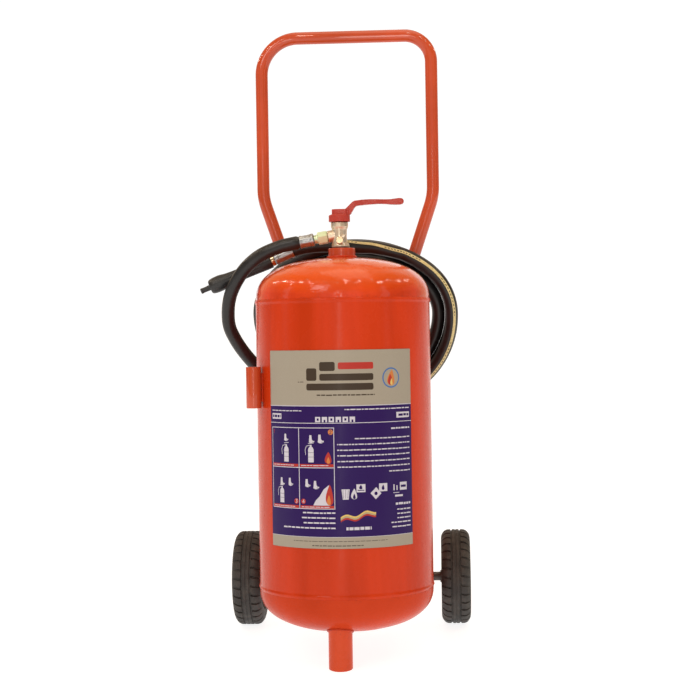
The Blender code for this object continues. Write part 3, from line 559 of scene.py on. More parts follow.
def hose_facing(k, point, tangent):
    """The printed stripe: behind on the lead and the inner turns, outside front on the last one."""
    outward = point - COIL
    outward = (outward - tangent * outward.dot(tangent)).normalized()
    front = -back_plane
    front = (front - tangent * front.dot(tangent)).normalized()
    behind = min(1.0, max(0.0, (turn_starts - hose_run[k]) / 0.22))
    behind = behind * behind * (3 - 2 * behind)
    height = min(1.0, max(0.0, (point.z - 0.56) / 0.10))
    past = min(1.0, max(0.0, (0.075 - point.x) / 0.075)) if hose_run[k] > turn_starts + 0.3 else 0.0
    turn_by = math.radians(62 - 8 * height - 44 * past + 150 * behind)
    return outward * math.cos(turn_by) + front * math.sin(turn_by)


hose_mesh = tube_mesh("hose", hose_line, hose_radius, sides=28, facing=hose_facing)
rubber = Look("rubber_hose", 0.34, spec=0.45)
uv = rubber.add("ShaderNodeUVMap", uv_map="along")
parts_uv = rubber.add("ShaderNodeSeparateXYZ")
rubber.link(uv.outputs["UV"], parts_uv.inputs[0])
around, length = parts_uv.outputs["X"], parts_uv.outputs["Y"]
# distance from the seam, 0 at it and 0.5 opposite
from_seam = rubber.math("SUBTRACT", 0.5, rubber.math("ABSOLUTE", rubber.math("SUBTRACT", around, 0.5), 0.0))
ragged = rubber.span(rubber.noise(700.0, 3.0, 0.6), 0.3, 0.7, -0.003, 0.003)
from_seam = rubber.math("ADD", from_seam, ragged)
stripe = rubber.span(from_seam, 0.034, 0.038, 1.0, 0.0)
mark_line = rubber.span(rubber.math("ABSOLUTE", rubber.math("SUBTRACT", from_seam, 0.004), 0.0), 0.006, 0.008, 1.0, 0.0)
dash = rubber.math("FRACT", rubber.math("MULTIPLY", length, 170.0), 0.0)
dash = rubber.span(rubber.math("ABSOLUTE", rubber.math("SUBTRACT", dash, 0.5), 0.0), 0.27, 0.30, 1.0, 0.0)
group = rubber.math("FRACT", rubber.math("MULTIPLY", length, 9.0), 0.0)
group = rubber.span(group, 0.60, 0.61, 1.0, 0.0)
mark = rubber.math("MULTIPLY", rubber.math("MULTIPLY", mark_line, dash), group)
black = rubber.blend(rubber.span(rubber.noise(30.0, 4.0, 0.6), 0.35, 0.7), (0.0105, 0.0100, 0.0105), (0.020, 0.019, 0.019))
tan = rubber.blend(rubber.span(rubber.noise(260.0, 4.0, 0.6), 0.3, 0.7), (0.80, 0.68, 0.33), (0.60, 0.50, 0.22))
tan = rubber.blend(mark, tan, (0.05, 0.04, 0.03))
rubber.colour(rubber.blend(stripe, black, tan))
rubber.rough(rubber.span(rubber.noise(60.0, 4.0, 0.6), 0.3, 0.7, 0.28, 0.42))
wrap = rubber.math("SINE", rubber.math("MULTIPLY", rubber.math("ADD", rubber.math("MULTIPLY", length, 330.0), around), 2 * math.pi), 0.0)
rubber.bump((wrap, 0.000016), (rubber.noise(800.0, 2.0, 0.5), 0.00001))
hose = fin(new_object("hose", hose_mesh, rubber.mat), "frame", "hose_lead", "hose_coil", "hose_tail", slot="hose_rubber")

# ------------------------------------------------------------------ outlet fittings on both ends of the hose
outlet_m, nozzle_m = at(ball_at, outlet), at(NOZZLE_AT, nozzle)


def crimped(name, low, high, matrix, body, node, flip=False):
    """A pressed ferrule: plain rings at both ends, eight crimp flats between."""
    span = high - low

    def z(share):
        return high - span * share if flip else low + span * share

    outer = [(0.0102, z(1.0)), (0.0104, z(0.97)), (0.0102, z(0.90)), (0.0097, z(0.86)), (0.0097, z(0.24)), (0.0103, z(0.20)),
             (0.0103, z(0.05)), (0.0094, z(0.0))]
    # the crimp's length is split, so that the flats can fade out at both ends
    line = outer[:4] + [(0.0097, z(0.86 - 0.62 * k / 8)) for k in range(9)] + outer[5:] + [(0.0075, z(0.0)), (0.0075, z(0.10)), (0.0083, z(0.12)), (0.0083, z(0.98))]

    def shape(r, height, a):
        share = (height - low) / span
        share = 1 - share if flip else share
        if r < 0.0093 or not 0.24 <= share <= 0.86:
            return r
        fade = min(1.0, (share - 0.24) / 0.08, (0.86 - share) / 0.08)
        wave = abs(math.sin(a * 4))
        return r * (1 - 0.045 * fade * (1 - wave) ** 1.5 + 0.012 * fade * wave)

    return fin(lathe(name, line, SILVER, matrix, 144, soft=0.0003, shape=shape, sharp=30), body, node, slot="silver_zinc")


ferrule_in = crimped("ferrule_valve_end", 0.0420, 0.0653, outlet_m, "frame", "hose_ferrule")
ferrule_out = crimped("ferrule_nozzle_end", 0.0, 0.0330, nozzle_m, "frame", "nozzle_ferrule", flip=True)


def hexagon(name, across, low, high, bore, mat, matrix, steps=144, chamfer=0.9, bore_steps=None):
    """A chamfered hexagon, hollow where bore is given."""
    corner = across / 2 / math.cos(math.pi / 6)
    rise = (corner - across / 2 * 0.98) * chamfer
    rows = [low, low + rise * 0.35, low + rise * 0.7, low + rise, high - rise, high - rise * 0.7, high - rise * 0.35, high]

    def limit(z):
        near = min(z - low, high - z)
        return across / 2 * 0.97 + near / 0.58 * 1.0 if near < rise * 1.8 else 1.0

    line = [(corner, z) for z in reversed(rows)]
    line = [(across / 2 * 0.80, high)] + line + [(across / 2 * 0.80, low)]
    line = ([(0, high)] + line + [(0, low)]) if not bore else line + [(bore, low), (bore, high)]

    def shape(r, z, a):
        if r < corner * 0.99:
            return r
        turn_in = (a % (math.pi / 3)) - math.pi / 6
        return min(across / 2 / math.cos(turn_in), limit(z))

    return lathe(name, line, mat, matrix, steps, ring=bool(bore), shape=shape, sharp=22)


fin(hexagon("swivel_nut_hex", 0.0185, 0.0195, 0.0358, 0.0086, YELLOW, outlet_m @ Matrix.Rotation(0.18, 4, "Z")), "frame", "swivel_nut", slot="yellow_zinc")
fin(lathe("tailpiece_valve_end", [
    (0.0050, 0.0620), (0.0050, 0.0424), (0.0068, 0.0414), (0.0068, 0.0386), (0.0072, 0.0380), (0.0072, 0.0345), (0.0080, 0.0336), (0.0080, 0.0313),
    (0.0040, 0.0313), (0.0040, 0.0620)], YELLOW, outlet_m, 72, soft=0.0003), "frame", "hose_tailpiece", slot="yellow_zinc")
fin(lathe("nipple_threaded", [(0.0081, 0.0103), (0.0081, 0.0188)] + [
    (0.0078 if k % 2 else 0.0070, 0.0192 + 0.0118 * k / 22) for k in range(23)] + [(0.0045, 0.0310), (0.0045, 0.0103)], BRASS_CUT, outlet_m, 72), "frame", "outlet_nipple", slot="brass")
tail_out = fin(lathe("tailpiece_nozzle_end", [
    (0.0055, 0.0480), (0.0055, 0.0395), (0.0098, 0.0393), (0.0100, 0.0388), (0.0100, 0.0342), (0.0098, 0.0337), (0.0071, 0.0335), (0.0071, 0.0296), (0.0050, 0.0290), (0.0050, 0.0100),
    (0.0038, 0.0100), (0.0038, 0.0480)], BRASS_CUT, nozzle_m, 90, soft=0.0002), "frame", "nozzle_tailpiece", slot="brass")


# The nozzle: a ribbed grip that swells to a bulb, then a short tip.
def grip(r, z, a):
    if r > 0.0095 and 0.054 < z < 0.120:
        fade = min(1.0, (z - 0.054) / 0.006, (0.120 - z) / 0.006)
        return r - 0.0006 * fade * (0.5 + 0.5 * math.cos(a * 14)) ** 2
    return r


grip_line = [(0.0098, 0.1500), (0.0112, 0.1490), (0.0122, 0.1470), (0.0130, 0.1430), (0.0134, 0.1380), (0.0134, 0.1310), (0.0129, 0.1270), (0.0116, 0.1200)]
grip_line += [(0.0116 - 0.0012 * math.sin(math.pi / 2 * k / 10), 0.1200 - 0.022 * k / 10) for k in range(1, 11)]
grip_line += [(0.0104 + 0.0014 * (k / 14) ** 1.3, 0.0980 - 0.050 * k / 14) for k in range(1, 15)]
grip_line += [(0.0118, 0.0400), (0.0100, 0.0396), (0.0058, 0.0396), (0.0058, 0.0500), (0.0042, 0.0520), (0.0042, 0.1440), (0.0058, 0.1440), (0.0058, 0.1500)]
nozzle_grip = fin(lathe("nozzle_grip", grip_line, PLASTIC, nozzle_m, 168, soft=0.0004, shape=grip), "frame", "nozzle_body", slot="black_plastic")
nozzle_end = fin(lathe("nozzle_mouth", [
    (0.0040, 0.1670), (0.0044, 0.1667), (0.0046, 0.1658), (0.0046, 0.1635), (0.0043, 0.1630), (0.0043, 0.1565), (0.0046, 0.1545), (0.0046, 0.1503), (0.0054, 0.1503), (0.0054, 0.1444), (0.0030, 0.1444),
    (0.0030, 0.1650), (0.0034, 0.1670)], PLASTIC, nozzle_m, 72, soft=0.0002), "frame", "nozzle_tip", slot="black_plastic")

[tuple(STANCE @ p) for p in respaced(hose_line, 0.009)]

# ------------------------------------------------------------------ pressure vessel
def dents(r, z, a):
    """The rolled shell isn't perfectly round: a few tenths of a millimetre of slow waviness."""
    if r < SHELL_R - 0.001:
        return r
    spot = Vector((math.cos(a) * 1.7, math.sin(a) * 1.7, z * 7.0))
    return r + 0.00016 * noise.noise(spot) + 0.00010 * noise.noise(spot * 2.7)


def seam_bead(r, z, a):
    """The seam weld's ripple."""
    if r > SHELL_R + 0.0005:
        return r + 0.00022 * math.sin(a * 150 + 2 * math.sin(a * 7)) + 0.0003 * noise.noise(Vector((math.cos(a) * 9, math.sin(a) * 9, z * 40)))
    return dents(r, z, a)


def bead_rows(seam, way):
    """Outline of a low, rounded weld bead just inside the barrel's end."""
    rows = [(SHELL_R - 0.0001, seam), (SHELL_R + 0.0002, seam - way * 0.0006)]
    rows += [(SHELL_R + BEAD * math.sin(math.pi * k / 8) ** 0.8, seam - way * (0.0010 + 0.0056 * k / 8)) for k in range(1, 8)]
    return rows + [(SHELL_R + 0.0001, seam - way * 0.0070), (SHELL_R, seam - way * 0.0082)]


barrel_line = bead_rows(SEAM_HIGH, 1)
low_rows = bead_rows(SEAM_LOW, -1)
span_z = [SEAM_HIGH - 0.0084 - (SEAM_HIGH - SEAM_LOW - 0.0168) * k / 44 for k in range(45)]
barrel_line += [(SHELL_R, z) for z in span_z] + low_rows[::-1]
barrel_line += [(SHELL_R - SHELL_WALL, SEAM_LOW), (SHELL_R - SHELL_WALL, SEAM_HIGH)]
fin(lathe("shell_barrel", barrel_line, RED, STANCE, 240, shape=seam_bead, sharp=50), "frame", "barrel", slot="red_paint")


def head(name, hole, way, mat, node):
    seam = SEAM_HIGH if way > 0 else SEAM_LOW
    shares = [k / 30 for k in range(31)]
    outer = [(hole + (SHELL_R - hole) * math.sin(s * math.pi / 2)) for s in shares]
    inner_r, inner_rise = SHELL_R - SHELL_WALL, HEAD_RISE - SHELL_WALL
    inner = [(hole + (inner_r - hole) * math.sin(s * math.pi / 2)) for s in shares]
    line = [(r, seam + way * head_height(r)) for r in outer] + [(r, seam + way * head_height(r, inner_r, inner_rise)) for r in reversed(inner)]

    mesh = lathe_mesh(name, line, 192, ring=hole > 0)
    # pressed steel: slow unevenness across the dome
    for v in mesh.vertices:
        r = math.hypot(v.co.x, v.co.y)
        fade = min(1.0, max(0.0, (SHELL_R - 0.001 - r) / 0.02), max(0.0, (r - hole) / 0.02) if hole else 1.0)
        v.co.z += way * fade * 0.00035 * noise.noise(Vector((v.co.x * 26, v.co.y * 26, 4.2 * way)))
    return fin(new_object(name, mesh, mat, STANCE, 50), "frame", node, slot="red_paint")


head("dome_top", HEAD_HOLE_R, 1, RED_DOME, "top_head")
head("dome_bottom", 0.0, -1, RED_LOW, "bottom_head")

fin(lathe("collar_ring", [
    (COLLAR_R - 0.0010, COLLAR_TOP), (COLLAR_R, COLLAR_TOP - 0.0010), (COLLAR_R, 0.6506),
    (HEAD_HOLE_R - 0.0004, 0.6506), (HEAD_HOLE_R - 0.0004, 0.6420), (COLLAR_BORE_R, 0.6420), (COLLAR_BORE_R, COLLAR_TOP),
], RED_TUBE, STANCE, 120, soft=0.0007), "frame", "neck_collar", slot="red_paint")
ring = [Vector(((COLLAR_R + 0.0003) * math.cos(a), (COLLAR_R + 0.0003) * math.sin(a), SEAM_HIGH + head_height(COLLAR_R) + 0.0010))
        for a in (2 * math.pi * k / 120 for k in range(120))]
fin(weld("weld_collar", ring, 0.0022, closed_path=True), "frame")

# ------------------------------------------------------------------ valve
ident = Matrix.Identity(4)
to_valve = Matrix.Translation((VALVE_X, 0, 0))
to_outlet = Matrix.Translation(ball_at) @ outlet.to_track_quat("Z", "Y").to_matrix().to_4x4()
front_q = Vector((0, -1, 0)).to_track_quat("Z", "Y").to_matrix().to_4x4()
RELIEF_Z = 0.6772
to_relief = Matrix.Translation((VALVE_X + 0.001, 0, RELIEF_Z)) @ front_q


def lump(profile, steps=64, ring=False, soft=0.0004):
    return lathe_mesh("lump", profile, steps, ring, soft)


rib = bpy.data.meshes.new("rib")
work = bmesh.new()
bmesh.ops.create_cube(work, size=1.0, matrix=Matrix.Translation((0, 0, 0.6900)) @ Matrix.Diagonal((0.0040, 0.0252, 0.0200, 1)))
bmesh.ops.create_cube(work, size=1.0, matrix=Matrix.Translation((0.004, 0, 0.6810)) @ Matrix.Rotation(0.75, 4, "Y") @ Matrix.Diagonal((0.0034, 0.0262, 0.0140, 1)))
bmesh.ops.create_cube(work, size=1.0, matrix=Matrix.Translation((0.005, 0, 0.6740)) @ Matrix.Rotation(-0.75, 4, "Y") @ Matrix.Diagonal((0.0030, 0.0262, 0.0120, 1)))
work.to_mesh(rib)
work.free()
casting = as_solid("valve_casting", [
    (lump([(0, 0.7070), (0.0132, 0.7070), (0.0139, 0.7062), (0.0139, 0.6998), (0.0120, 0.6950), (0.0115, 0.6840), (0.0122, 0.6740), (0.0127, 0.6720), (0.0127, 0.6685), (0, 0.6685)]), to_valve),
    (lump(rod(0.0145, 0.6671, 0.6701)), Matrix.Translation((VALVE_X / 2, 0, 0))),
    (lump(rod(0.0119, 0.6600, 0.6730)), ident),
    (lump(rod(0.0122, 0.6431, 0.6668)), ident),
    (lump([(0, 0.0189), (0.0092, 0.0189), (0.0097, 0.0183), (0.0097, 0), (0, 0)]), to_outlet),
    (lump(rod(0.0063, 0, 0.0134)), to_relief),
    (rib, to_valve),
], 0.00042, 2, [
    (lathe_mesh("c", [(0, 0.0250), (0.0084, 0.0250)] + [(0.0089 * math.cos(a), -0.0089 * math.sin(a)) for a in (math.pi * k / 16 for k in range(8))] + [(0, -0.0089)], 48, False), to_outlet),
    (lathe_mesh("c", rod(0.0043, 0.6580, 0.6880), 32, False), to_valve),
    (lathe_mesh("c", rod(0.0068, 0.6300, 0.6622), 32, False), ident),
    (lathe_mesh("c", rod(0.0058, 0.6762, 0.6850), 32, False), to_valve),
    (lathe_mesh("c", rod(STEM_R + 0.0004, 0.6900, 0.7200), 32, False), to_valve),
    (lathe_mesh("c", rod(0.0068, 0.7000, 0.7200), 32, False), to_valve),
    (lathe_mesh("c", rod(0.0033, 0.0020, 0.0200), 32, False), Matrix.Translation((VALVE_X + 0.001, 0, RELIEF_Z - 0.0030)) @ front_q),
], BRASS)
fin(casting, "frame", "valve_body", slot="brass")

fin(hexagon("relief_plug_hex", 0.0105, 0.0138, 0.0180, 0, BRASS_CUT, STANCE @ to_relief, 96), "frame", "relief_plug", slot="brass")
fin(lathe("relief_plug_stud", rod(0.0028, 0.0075, 0.0139), BRASS_CUT, STANCE @ Matrix.Translation((VALVE_X + 0.001, 0, RELIEF_Z)) @ front_q, 48, False), "frame")

# Lever: two-tier cap and arm cast in one, enamelled.
Z = BALL_Z
lever_m = STANCE @ Matrix.Translation((VALVE_X, 0, BALL_Z))


def slab(outline, width_at):
    """An upright outline in X and Z, given a width by width_at(x)."""
    mesh = bpy.data.meshes.new("slab")
    count = len(outline)
    verts = [(x, -width_at(x) / 2, z) for x, z in outline] + [(x, width_at(x) / 2, z) for x, z in outline]
    faces = [tuple(range(count)), tuple(range(2 * count - 1, count - 1, -1))]
    faces += [(i, (i + 1) % count, (i + 1) % count + count, i + count) for i in range(count)]
    mesh.from_pydata(verts, [], faces)
    work = bmesh.new()
    work.from_mesh(mesh)
    bmesh.ops.triangulate(work, faces=work.faces)
    bmesh.ops.recalc_face_normals(work, faces=work.faces)
    work.to_mesh(mesh)
    work.free()
    return mesh


def arm_width(x):
    if x > 0.078:
        return 0.0128 + 0.0002 * min(1.0, (x - 0.078) / 0.012)
    return 0.0128 - 0.0020 * math.sin(math.pi * max(0.0, min(1.0, (x - 0.024) / 0.054)))


arm_line = [(x / 1000, zz / 1000 - Z) for x, zz in (
    (8.0, 720.0), (8.6, 726.8), (13.0, 730.9), (18.0, 735.8), (22.0, 739.5), (24.5, 740.8), (27.0, 741.2), (37.0, 742.4), (49.0, 742.9), (60.0, 742.7), (67.0, 742.4), (76.0, 742.1),
    (83.0, 742.2), (90.0, 743.1), (96.5, 743.8), (100.5, 743.6), (103.2, 742.2), (104.4, 739.8), (104.0, 736.8), (102.4, 734.7), (98.0, 733.5), (90.0, 733.4), (82.0, 733.9), (76.0, 734.7),
    (70.0, 735.1), (62.0, 735.2), (53.0, 734.8), (40.0, 733.9), (31.0, 733.1), (28.0, 732.6), (26.0, 731.2), (24.0, 728.9), (21.0, 723.6), (18.6, 719.2))]
block = bpy.data.meshes.new("block")
work = bmesh.new()
bmesh.ops.create_cube(work, size=1.0, matrix=Matrix.Translation((0.0018, 0, 0.7227 - Z)) @ Matrix.Diagonal((0.0270, 0.0230, 0.0100, 1)))
bmesh.ops.bevel(work, geom=[e for e in work.edges if abs(e.verts[0].co.z - e.verts[1].co.z) > 0.005], offset=0.004, segments=4, affect="EDGES")
work.to_mesh(block)
work.free()
lever = as_solid("lever_cast", [
    (lump([(0, 0.7222 - Z), (0.0160, 0.7188 - Z), (0.0173, 0.7178 - Z), (0.0173, LEVER_LOW + 0.0001 - Z), (0, LEVER_LOW + 0.0001 - Z)], 96), ident),
    (block, ident),
    (slab(arm_line, arm_width), ident),
], 0.00055, 3, [
    (lathe_mesh("c", rod(STEM_R + 0.0003, -0.01, 0.06), 48, False), ident),
    (lathe_mesh("c", rod(0.0062, 0.7243 - Z, 0.7400 - Z), 48, False), ident),
    (lathe_mesh("c", [(0, 0.7140 - Z), (0.0146, 0.7140 - Z), (0.0146, 0.7000 - Z), (0, 0.7000 - Z)], 64, False), ident),
], ENAMEL, lever_m)
fin(lever, "valve_lever", "lever", slot="lever_enamel")
fin(hexagon("lever_nut_hex", 0.0095, 0.7246 - Z, 0.7271 - Z, STEM_R + 0.0001, SILVER, lever_m, 96), "valve_lever", "lever_nut", slot="silver_zinc")
fin(lathe("stem_threaded", [(0, 0.7240 - Z), (STEM_R - 0.0004, 0.7240 - Z), (STEM_R, 0.7236 - Z), (STEM_R, 0.0084), (0.0024, 0.0083), (0.0024, 0.0064), (0, 0.0064)], STEEL, lever_m, 48, False),
    "valve_lever", "valve_stem", slot="bare_steel")

# ------------------------------------------------------------------ push handle
leg_y = math.sqrt((SHELL_R + BEAD + 0.0003 + HANDLE_R) ** 2 - (HANDLE_FOOT_X - HANDLE_SHIFT) ** 2)


def rounded(corners, radii, steps):
    out = [corners[0]]
    for before, corner, after, radius, count in zip(corners, corners[1:], corners[2:], radii, steps):
        a, b = (before - corner).normalized(), (after - corner).normalized()
        half = a.angle(b) / 2
        reach = radius / math.tan(half)
        p, q = corner + a * reach, corner + b * reach
        middle = corner + (a + b).normalized() * (radius / math.sin(half))
        for k in range(count + 1):
            mixed = (p - middle).lerp(q - middle, k / count)
            out.append(middle + mixed.normalized() * radius)
    return out + [corners[-1]]


bar_corners = [
    Vector((HANDLE_FOOT_X, leg_y, 0.3500)), Vector((HANDLE_FOOT_X, leg_y, 0.5300)), Vector((HANDLE_FOOT_X, HANDLE_Y, 0.6000)),
    Vector((HANDLE_X, HANDLE_Y, 0.7600)), Vector((HANDLE_X, HANDLE_Y, HANDLE_TOP)), Vector((0.0, HANDLE_Y, HANDLE_TOP)),
]
right_half = rounded(bar_corners, [0.10, 0.08, 0.10, HANDLE_CORNER_R], [8, 8, 10, 18])
left_half = rounded(bar_corners, [0.10, 0.08, 0.10, HANDLE_CORNER_LEFT], [8, 8, 10, 22])
bar = [p + Vector((HANDLE_SHIFT, 0, 0)) for p in right_half + [Vector((-p.x, p.y, p.z)) for p in reversed(left_half[:-1])]]
bar_mesh = tube_mesh("handle_bar", bar, HANDLE_R - 0.00005, sides=40, facing=lambda k, p, t: Vector((0, 1, 0)), caps=False)
handle = bpy.data.objects.new("handle_bar", bar_mesh)
scene.collection.objects.link(handle)
wall = handle.modifiers.new("wall", "SOLIDIFY")
wall.thickness = 0.0020
wall.offset = -1.0
graph = bpy.context.evaluated_depsgraph_get()
walled = bpy.data.meshes.new_from_object(handle.evaluated_get(graph), depsgraph=graph)
bpy.data.objects.remove(handle)
fin(new_object("handle_bar", walled, RED_TUBE, STANCE, 45), "frame", "handle_frame", slot="red_paint")
for side in (-1, 1):
    # Fillet welds where the legs lie along the shell, two stitches on each side of each leg.
    centre_a = math.atan2(leg_y, HANDLE_FOOT_X + side * HANDLE_SHIFT)
    for k, (low, high) in enumerate(((0.362, 0.398), (0.476, 0.512))):
        for j, off in enumerate((-0.0048, 0.0048)):
            a = centre_a + off / SHELL_R
            x, y = (SHELL_R + 0.0014) * math.cos(a), (SHELL_R + 0.0014) * math.sin(a)
            points = [Vector((side * x, y, low + (high - low) * i / 12)) for i in range(13)]
            fin(weld(f"weld_leg_{'left' if side < 0 else 'right'}_{k}{j}", points, 0.0021, seed=k + j * 2.0 + side), "frame")

# ------------------------------------------------------------------ front foot
foot_mesh = bpy.data.meshes.new("foot_pipe")
verts, faces, STEPS = [], [], 96
for k in range(STEPS):
    a = 2 * math.pi * k / STEPS
    for radius, inside in ((FOOT_R - 0.00003, 0), (FOOT_R - FOOT_WALL, 1)):
        x, y = FOOT_X + radius * math.cos(a), FOOT_Y + radius * math.sin(a)
        top = SEAM_LOW - 0.0006 - head_height(math.hypot(x, y))
        # the cut end lies on the floor plane: z' = -y sin + z cos - FLOOR = 0
        low = (FLOOR + y * math.sin(LEAN)) / math.cos(LEAN)
        soft = 0.0006
        dx, dy = math.cos(a), math.sin(a)
        if inside:
            rows = [(x + dx * soft, y + dy * soft, low + 0.00002), (x, y, low + soft), (x, y, low + (top - low) * 0.5), (x, y, top)]
        else:
            rows = [(x, y, top), (x, y, low + (top - low) * 0.75), (x, y, low + (top - low) * 0.5), (x, y, low + (top - low) * 0.25), (x, y, low + soft), (x - dx * soft, y - dy * soft, low + 0.00002)]
        verts += rows
rows = 10
for k in range(STEPS):
    n = (k + 1) % STEPS
    for i in range(rows):
        j = (i + 1) % rows
        faces.append((k * rows + i, n * rows + i, n * rows + j, k * rows + j))
foot_mesh.from_pydata(verts, [], faces)
fin(new_object("foot_pipe", closed(foot_mesh), RED_FOOT, STANCE, 45), "frame", "foot_tube", slot="red_paint")
ring = []
for k in range(96):
    a = 2 * math.pi * k / 96
    x, y = FOOT_X + (FOOT_R + 0.0004) * math.cos(a), FOOT_Y + (FOOT_R + 0.0004) * math.sin(a)
    ring.append(Vector((x, y, SEAM_LOW - head_height(math.hypot(x, y)) - 0.0008)))
fin(weld("weld_foot", ring, 0.0017, closed_path=True, seed=5.0), "frame")

# ------------------------------------------------------------------ axle, brackets, wheels
side_q = Vector((1, 0, 0)).to_track_quat("Z", "Y").to_matrix().to_4x4()
AXLE_END = WHEEL_X + WHEEL_W / 2 - 0.0010
BOSS_IN, BOSS_OUT = 0.0190, 0.0120
STOP = WHEEL_X - BOSS_IN - 0.0027
half_axle = [(0, AXLE_END), (AXLE_R - 0.0008, AXLE_END), (AXLE_R, AXLE_END - 0.0008), (AXLE_R, STOP + 0.0004), (AXLE_R + 0.0003, STOP), (AXLE_R + 0.0026, STOP),
             (AXLE_R + 0.0030, STOP - 0.0004), (AXLE_R + 0.0030, STOP - 0.0046), (AXLE_R + 0.0026, STOP - 0.0050), (AXLE_R, STOP - 0.0050)]
fin(lathe("axle_bar", half_axle + [(r, -x) for r, x in reversed(half_axle)],
          metal("steel_axle", (0.16, 0.13, 0.12), 0.42, cast=0.00005), STANCE @ Matrix.Translation((0, AXLE_Y, AXLE_Z)) @ side_q, 64, False), "frame", "axle", slot="bare_steel")

for side, way in (("left", -1), ("right", 1)):
    low, high = AXLE_Z - 0.019, AXLE_Z + 0.029
    outline = rounded([Vector((y, z, 0)) for y, z in ((0.0640, low + 0.010), (0.0640, low), (0.1780, low), (0.1905, low + 0.010), (0.1925, AXLE_Z + 0.004), (0.1860, high - 0.006), (0.1700, high), (0.0640, high), (0.0640, low + 0.020))],
                      [0.0006, 0.012, 0.012, 0.012, 0.012, 0.010, 0.0006], [2, 6, 6, 6, 6, 5, 2])
    points = [(p.x, p.y) for p in outline]
    work = bmesh.new()
    verts = [work.verts.new((way * BRACKET_X - BRACKET_T / 2, y, z)) for y, z in points]
    face = work.faces.new(verts)
    made = bmesh.ops.extrude_face_region(work, geom=[face])
    bmesh.ops.translate(work, verts=[v for v in made["geom"] if isinstance(v, bmesh.types.BMVert)], vec=(BRACKET_T, 0, 0))
    bmesh.ops.recalc_face_normals(work, faces=work.faces)
    rims = [e for e in work.edges if abs(e.verts[0].co.x - e.verts[1].co.x) < 1e-6]
    bmesh.ops.bevel(work, geom=rims, offset=0.0005, segments=2, affect="EDGES")
    bmesh.ops.triangulate(work, faces=[f for f in work.faces if len(f.verts) > 4])
    mesh = bpy.data.meshes.new(f"cheek_{side}")
    work.to_mesh(mesh)
    work.free()
    cheek = bpy.data.objects.new("cheek_raw", mesh)
    scene.collection.objects.link(cheek)
    drill = bpy.data.objects.new("drill", lathe_mesh("drill", rod(AXLE_R + 0.0003, -0.02, 0.02), 64, False))
    drill.data.transform(Matrix.Translation((way * BRACKET_X, AXLE_Y, AXLE_Z)) @ side_q)
    scene.collection.objects.link(drill)
    step = cheek.modifiers.new("bore", "BOOLEAN")
    step.operation, step.solver, step.object = "DIFFERENCE", "EXACT", drill
    bpy.context.view_layer.update()
    graph = bpy.context.evaluated_depsgraph_get()
    bored = bpy.data.meshes.new_from_object(cheek.evaluated_get(graph), depsgraph=graph)
    bpy.data.objects.remove(cheek)
    bpy.data.objects.remove(drill)
    fin(new_object(f"cheek_{side}", bored, RED_TUBE, STANCE, 32), "frame", f"axle_bracket_{side}", slot="red_paint")
    # welds along the shell's side, top and bottom edge of the cheek, and round the axle
    for k, z in enumerate((low - 0.0003, high + 0.0003)):
        points = []
        for i in range(14):
            y = 0.042 + 0.030 * i / 13
            x = math.sqrt(SHELL_R ** 2 - y ** 2)
            points.append(Vector((way * (x + 0.0016), y, AXLE_Z + (z - AXLE_Z) * 0.97)))
        points = [p for p in points if abs(p.x) > BRACKET_X - 0.012 and p.y > 0.060]
        if len(points) > 3 and z > SEAM_LOW + 0.009:
            fin(weld(f"weld_cheek_{side}_{k}", points, 0.0022, seed=k + way), "frame")
    for k, x in enumerate((BRACKET_X - BRACKET_T / 2, BRACKET_X + BRACKET_T / 2)):
        ring = [Vector((way * x, AXLE_Y + (AXLE_R + 0.0006) * math.cos(a), AXLE_Z + (AXLE_R + 0.0006) * math.sin(a))) for a in (2 * math.pi * i / 40 for i in range(40))]
        fin(weld(f"weld_axle_{side}_{k}", ring, 0.0016, closed_path=True, seed=k * 3 + way), "frame")

    body = f"wheel_{side}"
    hub_m = STANCE @ Matrix.Translation((way * WHEEL_X, AXLE_Y, AXLE_Z)) @ Matrix.Rotation(LEAN, 4, "X") @ side_q
    h = WHEEL_W / 2

    # Tyre: lugged shoulders, a ribbed middle, a moulded side wall. Angles are packed round each groove.
    LUGS = 32
    pitch = 2 * math.pi / LUGS
    marks = [0.0, 0.035, 0.215, 0.25, 0.42, 0.60, 0.78, 0.90]
    angles = [(lug + m) * pitch for lug in range(LUGS) for m in marks]
    deep = [0.0, 1.0, 1.0, 0.0, 0.0, 0.0, 0.0, 0.0]
    # the tread's outline across the wheel, from one bead to the other, as (radius, x, lug depth, which half)
    out_line = [(0.0503, -h + 0.0070, 0), (0.0540, -h + 0.0030, 0), (0.0556, -h + 0.0008, 0), (0.0600, -h + 0.0004, 0), (0.0604, -h + 0.0008, 0), (0.0640, -h + 0.0008, 0),
                (0.0646, -h + 0.0003, 0), (0.0690, -h + 0.0008, 0.6), (0.0722, -h + 0.0020, 1.6), (0.0752, -h + 0.0040, 2.2), (0.0776, -h + 0.0063, 2.5), (0.0791, -h + 0.0090, 2.5),
                (0.0798, -h + 0.0115, 2.5), (0.0799, -0.0094, 2.5), (0.07995, -0.0086, 0.2), (0.0781, -0.0081, 0), (0.0781, -0.0060, 0), (0.0800, -0.0055, 0.1),
                (0.0800, -0.0012, 0.1), (0.0793, -0.0008, 0), (0.0793, 0.0008, 0), (0.0800, 0.0012, 0.1)]
    line = out_line + [(r, -x, d) for r, x, d in reversed(out_line[:-4])]
    line = line + [(0.0503, 0.0, 0)]
    verts, faces, rows = [], [], len(line)
    for k, a in enumerate(angles):
        d_here = deep[k % len(marks)]
        for r, x, d in line:
